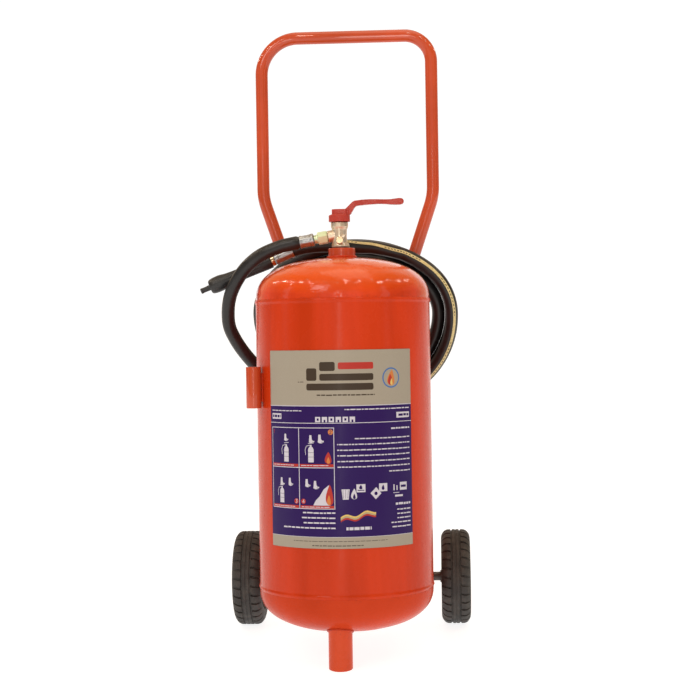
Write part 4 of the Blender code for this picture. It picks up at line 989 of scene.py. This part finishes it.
            # the two shoulders' grooves are half a pitch apart and slant a little
            shift = (pitch * 0.5 if x > 0 else 0.0) + abs(x) * 2.2 * (1 if x > 0 else -1)
            rr = r - d * 0.001 * d_here
            verts.append((rr * math.cos(a + shift), rr * math.sin(a + shift), x))
    for k in range(len(angles)):
        n = (k + 1) % len(angles)
        for i in range(rows):
            j = (i + 1) % rows
            faces.append((k * rows + i, n * rows + i, n * rows + j, k * rows + j))
    mesh = bpy.data.meshes.new(f"tyre_tread_{side}")
    mesh.from_pydata(verts, [], faces)
    fin(new_object(f"tyre_tread_{side}", closed(mesh), TYRE, hub_m, 28), body, f"tyre_{side}", slot="tyre_rubber")

    # Hub: a dished web with eight ribs and eight round holes' worth of recess between rim and boss.
    rim = [(0.0500, 0.0172), (0.0478, 0.0174), (0.0440, 0.0170), (0.0425, 0.0125), (0.0400, 0.0090), (0.0300, 0.0070), (0.0200, 0.0080), (0.0185, 0.0094)]
    outer = rim + [(0.0180, BOSS_OUT), (0.0118, BOSS_OUT)]
    inner = rim + [(0.0180, BOSS_IN), (0.0118, BOSS_IN)]
    hub_line = [(r, z) for r, z in reversed(outer)] + [(0.0500, 0.0)] + [(r, -z) for r, z in inner]
    hub_mesh = lathe_mesh("hub", [(r, z * way) for r, z in (hub_line if way > 0 else reversed(hub_line))], 144, True, 0.0005)
    work = bmesh.new()
    work.from_mesh(hub_mesh)
    for k in range(8):
        a = 2 * math.pi * k / 8
        for face_way, reach in ((1, 0.0118), (-1, 0.0140)):
            start = len(work.verts)
            box = bmesh.ops.create_cube(work, size=1.0, matrix=Matrix.Rotation(a, 4, "Z") @ Matrix.Translation((0.0305, 0, way * face_way * (reach + 0.0040) / 2)) @ Matrix.Diagonal((0.0270, 0.0030, reach - 0.0040, 1)))
            bmesh.ops.bevel(work, geom=[e for e in {e for v in box["verts"] for e in v.link_edges}], offset=0.0006, segments=2, affect="EDGES")
    work.to_mesh(hub_mesh)
    work.free()
    fin(new_object(f"hub_ribbed_{side}", hub_mesh, HUB, hub_m, 35), body, f"wheel_hub_{side}", slot="black_plastic")
    bush = pipe(0.0114, 0.0079, -BOSS_IN, BOSS_OUT) if way > 0 else pipe(0.0114, 0.0079, -BOSS_OUT, BOSS_IN)
    fin(lathe(f"bush_{side}", bush, NYLON, hub_m, 72, soft=0.0003), body, f"wheel_bush_{side}", slot="nylon")
    for where, x in (("inner", WHEEL_X - BOSS_IN - 0.0014), ("outer", WHEEL_X + BOSS_OUT + 0.0014)):
        fin(lathe(f"washer_plain_{where}_{side}", pipe(0.0124, AXLE_R + 0.0004, -0.0009, 0.0009), SILVER, STANCE @ Matrix.Translation((way * x, AXLE_Y, AXLE_Z)) @ side_q, 72, soft=0.0003),
            "frame", f"washer_{where}_{side}", slot="silver_zinc")
    # Split pin: an eye above and two legs bent apart below.
    pin_at = Vector((way * (WHEEL_X + BOSS_OUT + 0.0046), AXLE_Y, AXLE_Z))
    legs = []
    for s in (-1, 1):
        run = [pin_at + Vector(p) for p in ((0, 0, 0.0124), (0, s * 0.0016, 0.0116), (0, s * 0.0016, 0.0098), (0, s * 0.0006, 0.0084), (0, s * 0.0006, 0.0), (0, s * 0.0006, -0.0080), (0, s * 0.0012, -0.0098), (0, s * 0.0036, -0.0118))]
        legs.append(tube_mesh("leg", smooth_line(run, 0.0007), 0.00062, sides=10))
    work = bmesh.new()
    for leg in legs:
        work.from_mesh(leg)
    mesh = bpy.data.meshes.new(f"cotter_{side}")
    work.to_mesh(mesh)
    work.free()
    fin(new_object(f"cotter_{side}", mesh, STEEL, STANCE, 60), "frame", f"split_pin_{side}", slot="bare_steel")

# ------------------------------------------------------------------ nozzle holder
reach = SHELL_R + 0.0003 + 0.0015 + HOLDER_R
holder_at = Vector((-reach * math.cos(HOLDER_AZ), -reach * math.sin(HOLDER_AZ), 0))
fin(lathe("holder_pipe", pipe(HOLDER_R, HOLDER_R - HOLDER_WALL, HOLDER_BOTTOM, HOLDER_TOP), RED_TUBE, STANCE @ Matrix.Translation(holder_at), 80, soft=0.0006), "frame", "nozzle_holder", slot="red_paint")
radial = Vector((-math.cos(HOLDER_AZ), -math.sin(HOLDER_AZ), 0))
tangent = Vector((math.sin(HOLDER_AZ), -math.cos(HOLDER_AZ), 0))
for where, side in (("front", 1), ("rear", -1)):
    points = [radial * (SHELL_R + 0.0011) + tangent * side * 0.0046 + Vector((0, 0, 0.4220 + 0.0450 * i / 10)) for i in range(11)]
    fin(weld(f"weld_holder_{where}", points, 0.0012), "frame")

# ------------------------------------------------------------------ label: printed film wrapped round the front
FILM_R = SHELL_R + 0.0009


def film(name, tone, rough=0.34, grain=0.05):
    look = Look(name, rough, coat=0.06, coat_rough=0.18, spec=0.17)
    look.colour(look.blend(look.span(look.noise(900.0, 2.0, 0.5), 0.3, 0.7, 0, grain), tone, tuple(c * 0.6 for c in tone)))
    look.rough(look.span(look.noise(45.0, 4.0, 0.6), 0.3, 0.7, rough * 0.85, rough * 1.2))
    look.bump((look.noise(12.0, 2.0, 0.5), 0.00008))
    return look.mat


INKS = {
    "beige": film("film_beige", (0.381, 0.338, 0.270), 0.38, 0.18),
    "purple": film("film_purple", (0.024, 0.005, 0.098), 0.34, 0.25),
    "white": film("film_white", (0.62, 0.60, 0.68), 0.34),
    "brown": film("film_brown", (0.055, 0.038, 0.026), 0.34),
    "red": film("film_red", (0.46, 0.040, 0.030), 0.34),
    "orange": film("film_orange", (0.62, 0.21, 0.06), 0.34),
    "yellow": film("film_yellow", (0.72, 0.52, 0.16), 0.34),
    "blue": film("film_blue", (0.07, 0.17, 0.42), 0.34),
    "grey": film("film_grey", (0.10, 0.085, 0.07), 0.34),
    "tan": film("film_tan", (0.46, 0.37, 0.22), 0.34),
}
art = {name: [] for name in INKS}          # ink -> list of (layer, outline)
W2 = 0.134          # half the drawn sheet


def lay(ink, layer, outline):
    art[ink].append((layer, outline))


def box_art(ink, layer, x0, z0, x1, z1):
    lay(ink, layer, [(x0, z0), (x1, z0), (x1, z1), (x0, z1)])


def frame_art(ink, layer, x0, z0, x1, z1, t):
    box_art(ink, layer, x0, z0, x1, z0 + t)
    box_art(ink, layer, x0, z1 - t, x1, z1)
    box_art(ink, layer, x0, z0 + t, x0 + t, z1 - t)
    box_art(ink, layer, x1 - t, z0 + t, x1, z1 - t)


def disc_art(ink, layer, x, z, r, steps=20, squash=1.0):
    lay(ink, layer, [(x + r * math.cos(2 * math.pi * k / steps), z + r * squash * math.sin(2 * math.pi * k / steps)) for k in range(steps)])


def line_art(ink, layer, points, t):
    """A stroke of width t through the points."""
    for (xa, za), (xb, zb) in zip(points, points[1:]):
        d = Vector((xb - xa, zb - za))
        if d.length < 1e-6:
            continue
        n = Vector((-d.y, d.x)).normalized() * t / 2
        d = d.normalized() * t * 0.35
        lay(ink, layer, [(xa + n.x - d.x, za + n.y - d.y), (xa - n.x - d.x, za - n.y - d.y), (xb - n.x + d.x, zb - n.y + d.y), (xb + n.x + d.x, zb + n.y + d.y)])


def words(ink, layer, x0, x1, z, high, flush="right", fill=1.0):
    """A row of plain dashes where small print would be."""
    used, spots = 0.0, []
    room = (x1 - x0) * fill
    while used < room:
        w = min(rng.uniform(0.0028, 0.0105), room - used)
        if w > 0.0012:
            spots.append((used, used + w))
        used += w + 0.0013
    for a, b in spots:
        left, right_edge = (x1 - b, x1 - a) if flush == "right" else (x0 + a, x0 + b)
        wob = rng.uniform(-0.00015, 0.00015)
        box_art(ink, layer, left, z - high / 2 + wob, right_edge, z + high / 2 + wob)


def flame_art(ink, layer, x, z, w, high, lean=0.0):
    pts = []
    for k in range(24):
        t = k / 23
        spread = math.sin(math.pi * t ** 0.62) ** 0.9
        pts.append((t, spread))
    left = [(x - w / 2 * s + lean * t * t * w, z + high * t) for t, s in pts]
    rightp = [(x + w / 2 * s * (1 - 0.25 * math.sin(math.pi * t)) + lean * t * t * w, z + high * t) for t, s in pts]
    lay(ink, layer, left + rightp[::-1][1:])


def unit_art(layer, x, z, s):
    """A small plain extinguisher: body, shoulder, neck, hose."""
    body = [(-0.5, 0), (0.5, 0), (0.5, 2.05), (0.36, 2.35), (0.16, 2.5), (0.16, 2.8), (-0.16, 2.8), (-0.16, 2.5), (-0.36, 2.35), (-0.5, 2.05)]
    lay("white", layer, [(x + a * s, z + b * s) for a, b in body])
    line_art("white", layer, [(x + a * s, z + b * s) for a, b in ((-0.45, 3.0), (0.5, 3.1))], 0.0009)
    line_art("white", layer, [(x + a * s, z + b * s) for a, b in ((-0.1, 2.75), (-0.8, 2.6), (-1.05, 2.0), (-0.95, 1.2))], 0.0009)
    line_art("purple", layer + 1, [(x + a * s, z + b * s) for a, b in ((-0.5, 1.55), (0.5, 1.55))], 0.0005)
    line_art("purple", layer + 1, [(x + a * s, z + b * s) for a, b in ((-0.5, 0.85), (0.5, 0.85))], 0.0005)


def hand_art(layer, x, z, s, way=1):
    palm = [(-0.9, 0.0), (-0.2, -0.35), (0.5, -0.3), (1.15, 0.1), (1.2, 0.45), (0.6, 0.5), (0.2, 1.0), (0.1, 2.4), (-0.7, 2.4), (-0.8, 1.0)]
    lay("white", layer, [(x + way * a * s, z + b * s) for a, b in palm])
    for k in range(3):
        line_art("purple", layer + 1, [(x + way * (0.35 + 0.2 * k) * s, z - 0.2 * s), (x + way * (0.45 + 0.2 * k) * s, z + 0.25 * s)], 0.0003)


def digit_art(ink, layer, x, z, s, which):
    strokes = {1: [((0, 0), (0, 2)), ((0, 2), (-0.5, 1.5))], 2: [((-0.6, 1.6), (0, 2), (0.6, 1.5), (-0.6, 0), (0.6, 0))],
               3: [((-0.6, 2), (0.6, 2), (0, 1.1), (0.6, 0.6), (0, 0), (-0.6, 0.3))], 4: [((0.3, 0), (0.3, 2), (-0.7, 0.6), (0.7, 0.6))]}[which]
    for stroke in strokes:
        line_art(ink, layer, [(x + a * s, z + b * s) for a, b in stroke], 0.0007)


# The artwork is drawn on a sheet 268 mm wide and 308 mm high, then fitted to the film.
DRAWN = (0.1910, 0.2120, 0.2460, 0.3740, 0.3790, 0.4090, 0.4990)
FITTED = (LABEL_LOW, 0.2170, 0.2593, 0.3843, 0.3905, 0.4168, LABEL_HIGH)
TOP_SPLIT, LOW_SPLIT = DRAWN[5], DRAWN[1]          # beige / purple / beige


def fitted(x, z):
    for a, b, c, d in zip(DRAWN, DRAWN[1:], FITTED, FITTED[1:]):
        if z <= b or b == DRAWN[-1]:
            return x * LABEL_W / 0.268, c + (z - a) / (b - a) * (d - c)


box_art("purple", 1, -W2, LOW_SPLIT, W2, TOP_SPLIT)
box_art("white", 1, -W2, TOP_SPLIT, W2, TOP_SPLIT + 0.0011)
box_art("white", 2, -W2, 0.3790, W2, 0.3801)
box_art("white", 1, -W2, LOW_SPLIT - 0.0007, W2, LOW_SPLIT)
# top panel: plain stacked bars, and a flame in a ring


def bar_art(ink, layer, x0, z0, x1, z1, r=0.0030):
    pts = rounded([Vector((x0 + r * 1.01, z0, 0)), Vector((x1, z0, 0)), Vector((x1, z1, 0)), Vector((x0, z1, 0)), Vector((x0, z0, 0)), Vector((x0 + r, z0, 0))], [r] * 4, [4] * 4)
    lay(ink, layer, [(p.x, p.y) for p in pts[1:-1]])


bar_art("brown", 1, -0.0540, 0.4345, 0.0590, 0.4455)
bar_art("brown", 1, -0.0540, 0.4500, -0.0360, 0.4700)
bar_art("brown", 1, -0.0310, 0.4500, 0.0590, 0.4610)
bar_art("brown", 1, -0.0310, 0.4655, -0.0050, 0.4800)
bar_art("red", 1, 0.0000, 0.4680, 0.0590, 0.4790, 0.0025)
words("brown", 1, -0.0360, 0.0610, 0.4268, 0.0020, "left")
words("brown", 1, -0.0700, -0.0590, 0.4480, 0.0011, "left")
disc_art("blue", 1, 0.0915, 0.4530, 0.0165, 40)
disc_art("beige", 2, 0.0915, 0.4530, 0.0142, 40)
flame_art("orange", 3, 0.0915, 0.4405, 0.0160, 0.0255, 0.10)
flame_art("red", 4, 0.0907, 0.4409, 0.0105, 0.0180, -0.10)
flame_art("yellow", 5, 0.0921, 0.4413, 0.0052, 0.0110, 0.15)
# heading band
words("white", 2, -0.1290, -0.0640, 0.4010, 0.0016, "left")
words("white", 2, 0.0100, 0.1290, 0.4030, 0.0019, "right")
box_art("white", 2, -0.1290, 0.3860, -0.1060, 0.3960)
words("purple", 3, -0.1275, -0.1075, 0.3910, 0.0045, "left", 0.98)
box_art("white", 2, 0.1010, 0.3860, 0.1290, 0.3960)
words("purple", 3, 0.1030, 0.1275, 0.3910, 0.0040, "right", 0.98)
for k in range(6):
    # a row of plain blocks for a heading
    x0 = -0.0394 + k * 0.0115
    box_art("white", 2, x0, 0.3812, x0 + 0.0088, 0.3905)
    if k % 2:
        box_art("purple", 3, x0 + 0.0030, 0.3812, x0 + 0.0060, 0.3855)
    else:
        box_art("purple", 3, x0 + 0.0028, 0.3838, x0 + 0.0062, 0.3880)
# four panels of how to use it
P0, P1, Q0, Q1 = -0.1300, -0.0078, 0.2460, 0.3740
frame_art("white", 2, P0, Q0, P1, Q1, 0.0011)
PX, QZ = (P0 + P1) / 2 - 0.001, (Q0 + Q1) / 2 + 0.001
box_art("white", 2, PX - 0.0006, Q0, PX + 0.0006, Q1)
box_art("white", 2, P0, QZ - 0.0006, P1, QZ + 0.0006)
for k, (x0, x1, z0, z1) in enumerate(((P0, PX, QZ, Q1), (PX, P1, QZ, Q1), (P0, PX, Q0, QZ), (PX, P1, Q0, QZ))):
    box_art("red", 2, x0 + 0.0016, z0 + 0.0012, x1 - 0.0016, z0 + 0.0056)
    words("white", 3, x0 + 0.0040, x1 - 0.0040, z0 + 0.0034, 0.0011, "left", 0.9)
    cx = (x0 + x1) / 2
    if k == 0:
        unit_art(2, cx + 0.0040, z0 + 0.0085, 0.0098)
        hand_art(2, cx + 0.0035, z0 + 0.0425, 0.0042)
        digit_art("red", 2, x0 + 0.0052, z1 - 0.0095, 0.0026, 1)
    elif k == 1:
        unit_art(2, cx - 0.0090, z0 + 0.0085, 0.0098)
        hand_art(2, cx - 0.0080, z0 + 0.0400, 0.0046)
        hand_art(2, cx + 0.0080, z0 + 0.0400, 0.0050, 1)
        flame_art("red", 2, x1 - 0.0100, z0 + 0.0060, 0.0125, 0.0190)
        flame_art("orange", 3, x1 - 0.0100, z0 + 0.0064, 0.0062, 0.0105)
        disc_art("orange", 2, x1 - 0.0060, z1 - 0.0072, 0.0042)
        digit_art("purple", 3, x1 - 0.0060, z1 - 0.0098, 0.0026, 2)
    elif k == 2:
        unit_art(2, cx - 0.0070, z0 + 0.0085, 0.0092)
        hand_art(2, cx - 0.0065, z0 + 0.0370, 0.0046)
        hand_art(2, cx + 0.0120, z0 + 0.0370, 0.0046, 1)
        disc_art("red", 2, x1 - 0.0062, z0 + 0.0120, 0.0042)
        digit_art("white", 3, x1 - 0.0062, z0 + 0.0094, 0.0026, 3)
    else:
        hand_art(2, cx - 0.0160, z0 + 0.0360, 0.0046)
        hand_art(2, cx - 0.0010, z0 + 0.0330, 0.0048, 1)
        lay("white", 2, [(cx - 0.0060, z0 + 0.0060), (cx - 0.0015, z0 + 0.0140), (cx + 0.0050, z0 + 0.0200), (cx + 0.0120, z0 + 0.0310), (cx + 0.0210, z0 + 0.0380), (cx + 0.0240, z0 + 0.0060)])
        flame_art("red", 3, x1 - 0.0085, z0 + 0.0060, 0.0140, 0.0330)
        flame_art("orange", 4, x1 - 0.0100, z0 + 0.0064, 0.0070, 0.0160)
        disc_art("red", 2, x0 + 0.0072, z0 + 0.0120, 0.0042)
        digit_art("white", 3, x0 + 0.0072, z0 + 0.0094, 0.0026, 4)
for k in range(4):
    words("white", 2, -0.0640 + 0.012 * (k % 2) - 0.052 * (k == 3) - 0.014 * (k == 1), -0.0078, 0.2415 - 0.0062 * k, 0.0017, "right")
# right column
words("white", 2, 0.0900, 0.1290, 0.3705, 0.0024, "right")
for k in range(7):
    words("white", 2, -0.0030, 0.1290, 0.3560 - 0.0088 * k, 0.0018, "right", 1.0 if k not in (0, 6) else (0.78 if k == 0 else 0.34))
for k, x in enumerate((0.0275, 0.0660, 0.1060)):
    z = 0.2722
    box_art("white", 2, x, z, x + 0.0150, z + 0.0125)
    if k == 0:      # solids: two logs under a flame
        flame_art("purple", 3, x + 0.0075, z + 0.0045, 0.0060, 0.0070)
        line_art("purple", 3, [(x + 0.0025, z + 0.0030), (x + 0.0125, z + 0.0030)], 0.0014)
        lay("white", 2, [(x - 0.0225, z - 0.0110), (x - 0.0130, z - 0.0110), (x - 0.0112, z + 0.0050), (x - 0.0245, z + 0.0050)])
        for j in range(3):
            line_art("purple", 3, [(x - 0.0215 + j * 0.0035, z - 0.0090), (x - 0.0222 + j * 0.0044, z + 0.0040)], 0.0005)
        flame_art("white", 2, x - 0.0035, z - 0.0110, 0.0110, 0.0170)
        flame_art("purple", 3, x - 0.0035, z - 0.0105, 0.0050, 0.0085)
    elif k == 1:    # liquids: a can and a drop
        flame_art("purple", 3, x + 0.0075, z + 0.0020, 0.0055, 0.0085)
        lay("white", 2, [(x - 0.0150, z - 0.0020), (x - 0.0050, z + 0.0070), (x + 0.0040, z - 0.0030), (x - 0.0060, z - 0.0120)])
        disc_art("purple", 3, x - 0.0055, z - 0.0028, 0.0028)
    else:           # gases: a bottle and a jet
        for j in range(3):
            disc_art("purple", 3, x + 0.0040 + j * 0.0035, z + 0.0062, 0.0022, 12)
        line_art("white", 2, [(x - 0.0120, z + 0.0010), (x - 0.0120, z + 0.0090)], 0.0022)
        line_art("white", 2, [(x - 0.0060, z + 0.0010), (x - 0.0060, z + 0.0070)], 0.0022)
        line_art("white", 2, [(x - 0.0130, z - 0.0035), (x - 0.0020, z - 0.0035)], 0.0010)
        line_art("white", 2, [(x - 0.0090, z - 0.0085), (x + 0.0050, z - 0.0085)], 0.0030)
for ink, dz in (("yellow", 0.0012), ("tan", -0.0008), ("red", -0.0028)):
    lay(ink, 2, [(0.0010 + 0.0590 * t / 20, 0.2350 + dz + 0.0022 * math.sin(t / 20 * 11.0) + 0.0075 * t / 20) for t in range(21)] +
        [(0.0010 + 0.0590 * t / 20, 0.2328 + dz + 0.0022 * math.sin(t / 20 * 11.0) + 0.0075 * t / 20) for t in range(20, -1, -1)])
words("white", 2, 0.0100, 0.0520, 0.2222, 0.0036, "left")
words("white", 2, 0.0970, 0.1290, 0.2510, 0.0034, "right")
for k in range(5):
    words("white", 2, 0.1000 - 0.012 * (k > 2), 0.1290, 0.2430 - 0.0053 * k, 0.0015, "right")
# bottom strip
words("grey", 1, -0.0830, 0.0800, 0.2040, 0.0011, "left", 1.0)
words("grey", 1, -0.0480, 0.0380, 0.1962, 0.0018, "left", 1.0)


def wrap_mesh(name, shapes):
    """Flat outlines cut into narrow upright strips, then bent round the shell, one skin per layer."""
    work = bmesh.new()
    for layer, outline in shapes:
        clean = []
        for p in outline:
            if not clean or (Vector(p) - Vector(clean[-1])).length > 1e-6:
                clean.append(p)
        if (Vector(clean[0]) - Vector(clean[-1])).length < 1e-6:
            clean.pop()
        if len(clean) < 3:
            continue
        verts = [work.verts.new((x, z, layer * 0.00004)) for x, z in clean]
        try:
            work.faces.new(verts)
        except ValueError:
            continue
    bmesh.ops.triangulate(work, faces=[f for f in work.faces if len(f.verts) > 4])
    for k in range(-22, 23):
        bmesh.ops.bisect_plane(work, geom=work.verts[:] + work.edges[:] + work.faces[:], dist=1e-7, plane_co=(k * 0.006, 0, 0), plane_no=(1, 0, 0))
    for v in work.verts:
        (x, z), lift = fitted(v.co.x, v.co.y), v.co.z
        a = x / SHELL_R - math.pi / 2
        v.co = ((FILM_R + lift) * math.cos(a), (FILM_R + lift) * math.sin(a), z)
    work.normal_update()
    for f in work.faces:
        centre = f.calc_center_median()
        if f.normal.dot(Vector((centre.x, centre.y, 0))) < 0:
            f.normal_flip()
    mesh = bpy.data.meshes.new(name)
    work.to_mesh(mesh)
    work.free()
    return mesh


# the film itself: beige, with a real edge, rounded corners
corner = 0.0015
LOWEST, HIGHEST = DRAWN[0], DRAWN[-1]
base = rounded([Vector((-W2 + 0.01, LOWEST, 0)), Vector((W2, LOWEST, 0)), Vector((W2, HIGHEST, 0)), Vector((-W2, HIGHEST, 0)), Vector((-W2, LOWEST, 0)), Vector((-W2 + 0.008, LOWEST, 0))],
               [corner] * 4, [3] * 4)
base_mesh = wrap_mesh("label_film", [(0, [(p.x, p.y) for p in base[1:-1]])])
film_ob = new_object("label_film", base_mesh, INKS["beige"], STANCE, 60)
thick = film_ob.modifiers.new("film", "SOLIDIFY")
thick.thickness = 0.00025
thick.offset = -1.0
fin(film_ob, "frame", "label", slot="label_film")
for ink, shapes in art.items():
    if shapes:
        ob = new_object(f"label_ink_{ink}", wrap_mesh(f"label_ink_{ink}", shapes), INKS[ink], STANCE, 60)
        fin(ob, "frame", slot="label_film")

# ------------------------------------------------------------------ materials on the CAD nodes that stay
kept = {"holder_tab": RED_TUBE, "neck_gasket": GASKET, "siphon_tube": PTFE, "inlet_seat": PTFE, "outlet_seat": PTFE, "stem_packing": PTFE,
        "gland_nut": BRASS_CUT, "valve_ball": metal("chrome_ball", (0.78, 0.78, 0.79), 0.12)}
for node, mat in kept.items():
    ob = bpy.data.objects[node] if node in bpy.data.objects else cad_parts[node]
    for slot_here in ob.material_slots:
        slot_here.material = mat

# ------------------------------------------------------------------ floor, backdrop, light
floor_look = Look("studio_floor", 0.6)
floor_look.colour(floor_look.blend(floor_look.span(floor_look.noise(1.5, 3.0, 0.5), 0.3, 0.7), (0.34, 0.34, 0.335), (0.36, 0.36, 0.355)))
# a lit acrylic floor, so that it runs into the backdrop without a horizon
floor_look.shader.inputs["Emission Color"].default_value = (1.0, 1.0, 1.0, 1)
floor_look.shader.inputs["Emission Strength"].default_value = 0.87
work = bmesh.new()
bmesh.ops.create_grid(work, x_segments=8, y_segments=8, size=9.0)
floor_mesh = bpy.data.meshes.new("floor")
work.to_mesh(floor_mesh)
work.free()
floor = new_object("floor", floor_mesh, floor_look.mat, Matrix.Identity(4))

world = bpy.data.worlds.new("studio")
scene.world = world
world.use_nodes = True
sky = world.node_tree
backdrop = sky.nodes["Background"]
backdrop.inputs["Color"].default_value = (1.0, 0.995, 0.99, 1)
# a white room: a little brighter behind the unit than in front of it
facing = sky.nodes.new("ShaderNodeTexCoord")
compass = sky.nodes.new("ShaderNodeSeparateXYZ")
depth = sky.nodes.new("ShaderNodeMapRange")
depth.inputs["From Min"].default_value = 0.0
depth.inputs["From Max"].default_value = 0.8
depth.inputs["To Min"].default_value = 0.60
depth.inputs["To Max"].default_value = 1.06
sky.links.new(facing.outputs["Generated"], compass.inputs[0])
sky.links.new(compass.outputs["Y"], depth.inputs["Value"])
across = sky.nodes.new("ShaderNodeMath")
across.operation = "ABSOLUTE"
sky.links.new(compass.outputs["X"], across.inputs[0])


def bands(source, stops):
    """The room's colour along one direction."""
    ramp = sky.nodes.new("ShaderNodeValToRGB")
    while len(ramp.color_ramp.elements) < len(stops):
        ramp.color_ramp.elements.new(0.5)
    for stop, (where, tone) in zip(ramp.color_ramp.elements, stops):
        stop.position = where
        stop.color = (*tone, 1)
    sky.links.new(source, ramp.inputs["Fac"])
    return ramp.outputs["Color"]


# white walls ahead, tan ones further round, dark doors at the sides, a warm ceiling
walls = bands(across.outputs[0], ((0.0, (1.0, 0.995, 0.99)), (0.40, (1.0, 0.995, 0.99)), (0.50, (0.84, 0.62, 0.42)), (0.76, (0.74, 0.54, 0.36)), (0.86, (0.36, 0.33, 0.31)), (1.0, (0.36, 0.33, 0.31))))
ceiling = bands(compass.outputs["Z"], ((0.0, (1, 1, 1)), (0.27, (1, 1, 1)), (0.42, (0.82, 0.66, 0.50)), (1.0, (0.82, 0.66, 0.50))))
both = sky.nodes.new("ShaderNodeMix")
both.data_type = "RGBA"
both.blend_type = "MULTIPLY"
both.inputs[0].default_value = 1.0
sky.links.new(walls, both.inputs[6])
sky.links.new(ceiling, both.inputs[7])
sky.links.new(both.outputs[2], backdrop.inputs["Color"])
sky.links.new(depth.outputs["Result"], backdrop.inputs["Strength"])


def softbox(name, loc, size, power, target=(0, 0, 0.45), tone=(1, 1, 1)):
    data = bpy.data.lights.new(name, "AREA")
    data.shape = "RECTANGLE"
    data.size, data.size_y = size
    data.energy = power
    data.color = tone
    ob = bpy.data.objects.new(name, data)
    scene.collection.objects.link(ob)
    ob.location = loc
    ob.rotation_euler = (Vector(target) - Vector(loc)).to_track_quat("-Z", "Y").to_euler()
    return ob


softbox("key", (-1.5, -2.6, 2.6), (1.2, 1.2), 20, (0, 0, 0.5), (1.0, 0.97, 0.93))
# small lamps in an arc, each where it glints on the shoulder of the upper head
for k in range(14):
    spot = math.radians(-52 + 8 * k)
    lift = math.radians(27 + 3 * (k % 2))
    lean_ = Vector((math.sin(spot) * math.cos(lift), -math.cos(spot) * math.cos(lift), math.sin(lift)))
    way_ = lean_ * (2 * -lean_.y) + Vector((0, 1, 0))
    softbox(f"lamp_{k}", tuple(Vector((0, 0, 0.6)) + way_ * 2.2), (0.06, 0.14), 1.6, (0, 0, 0.6), (1.0, 0.92, 0.78))
softbox("over", (0.2, 0.1, 2.6), (1.6, 1.2), 8, (0, 0, 0.5), (1.0, 0.86, 0.66))
softbox("window", (-0.10, -3.4, 0.78), (0.26, 1.56), 6.0, (0, 0, 0.5), (1.0, 0.95, 0.85))
softbox("side_left", (-2.2, -0.6, 0.9), (0.36, 2.0), 1.6, (0, 0, 0.5))
softbox("side_right", (2.0, -1.1, 0.9), (0.36, 2.0), 1.6, (0, 0, 0.5))
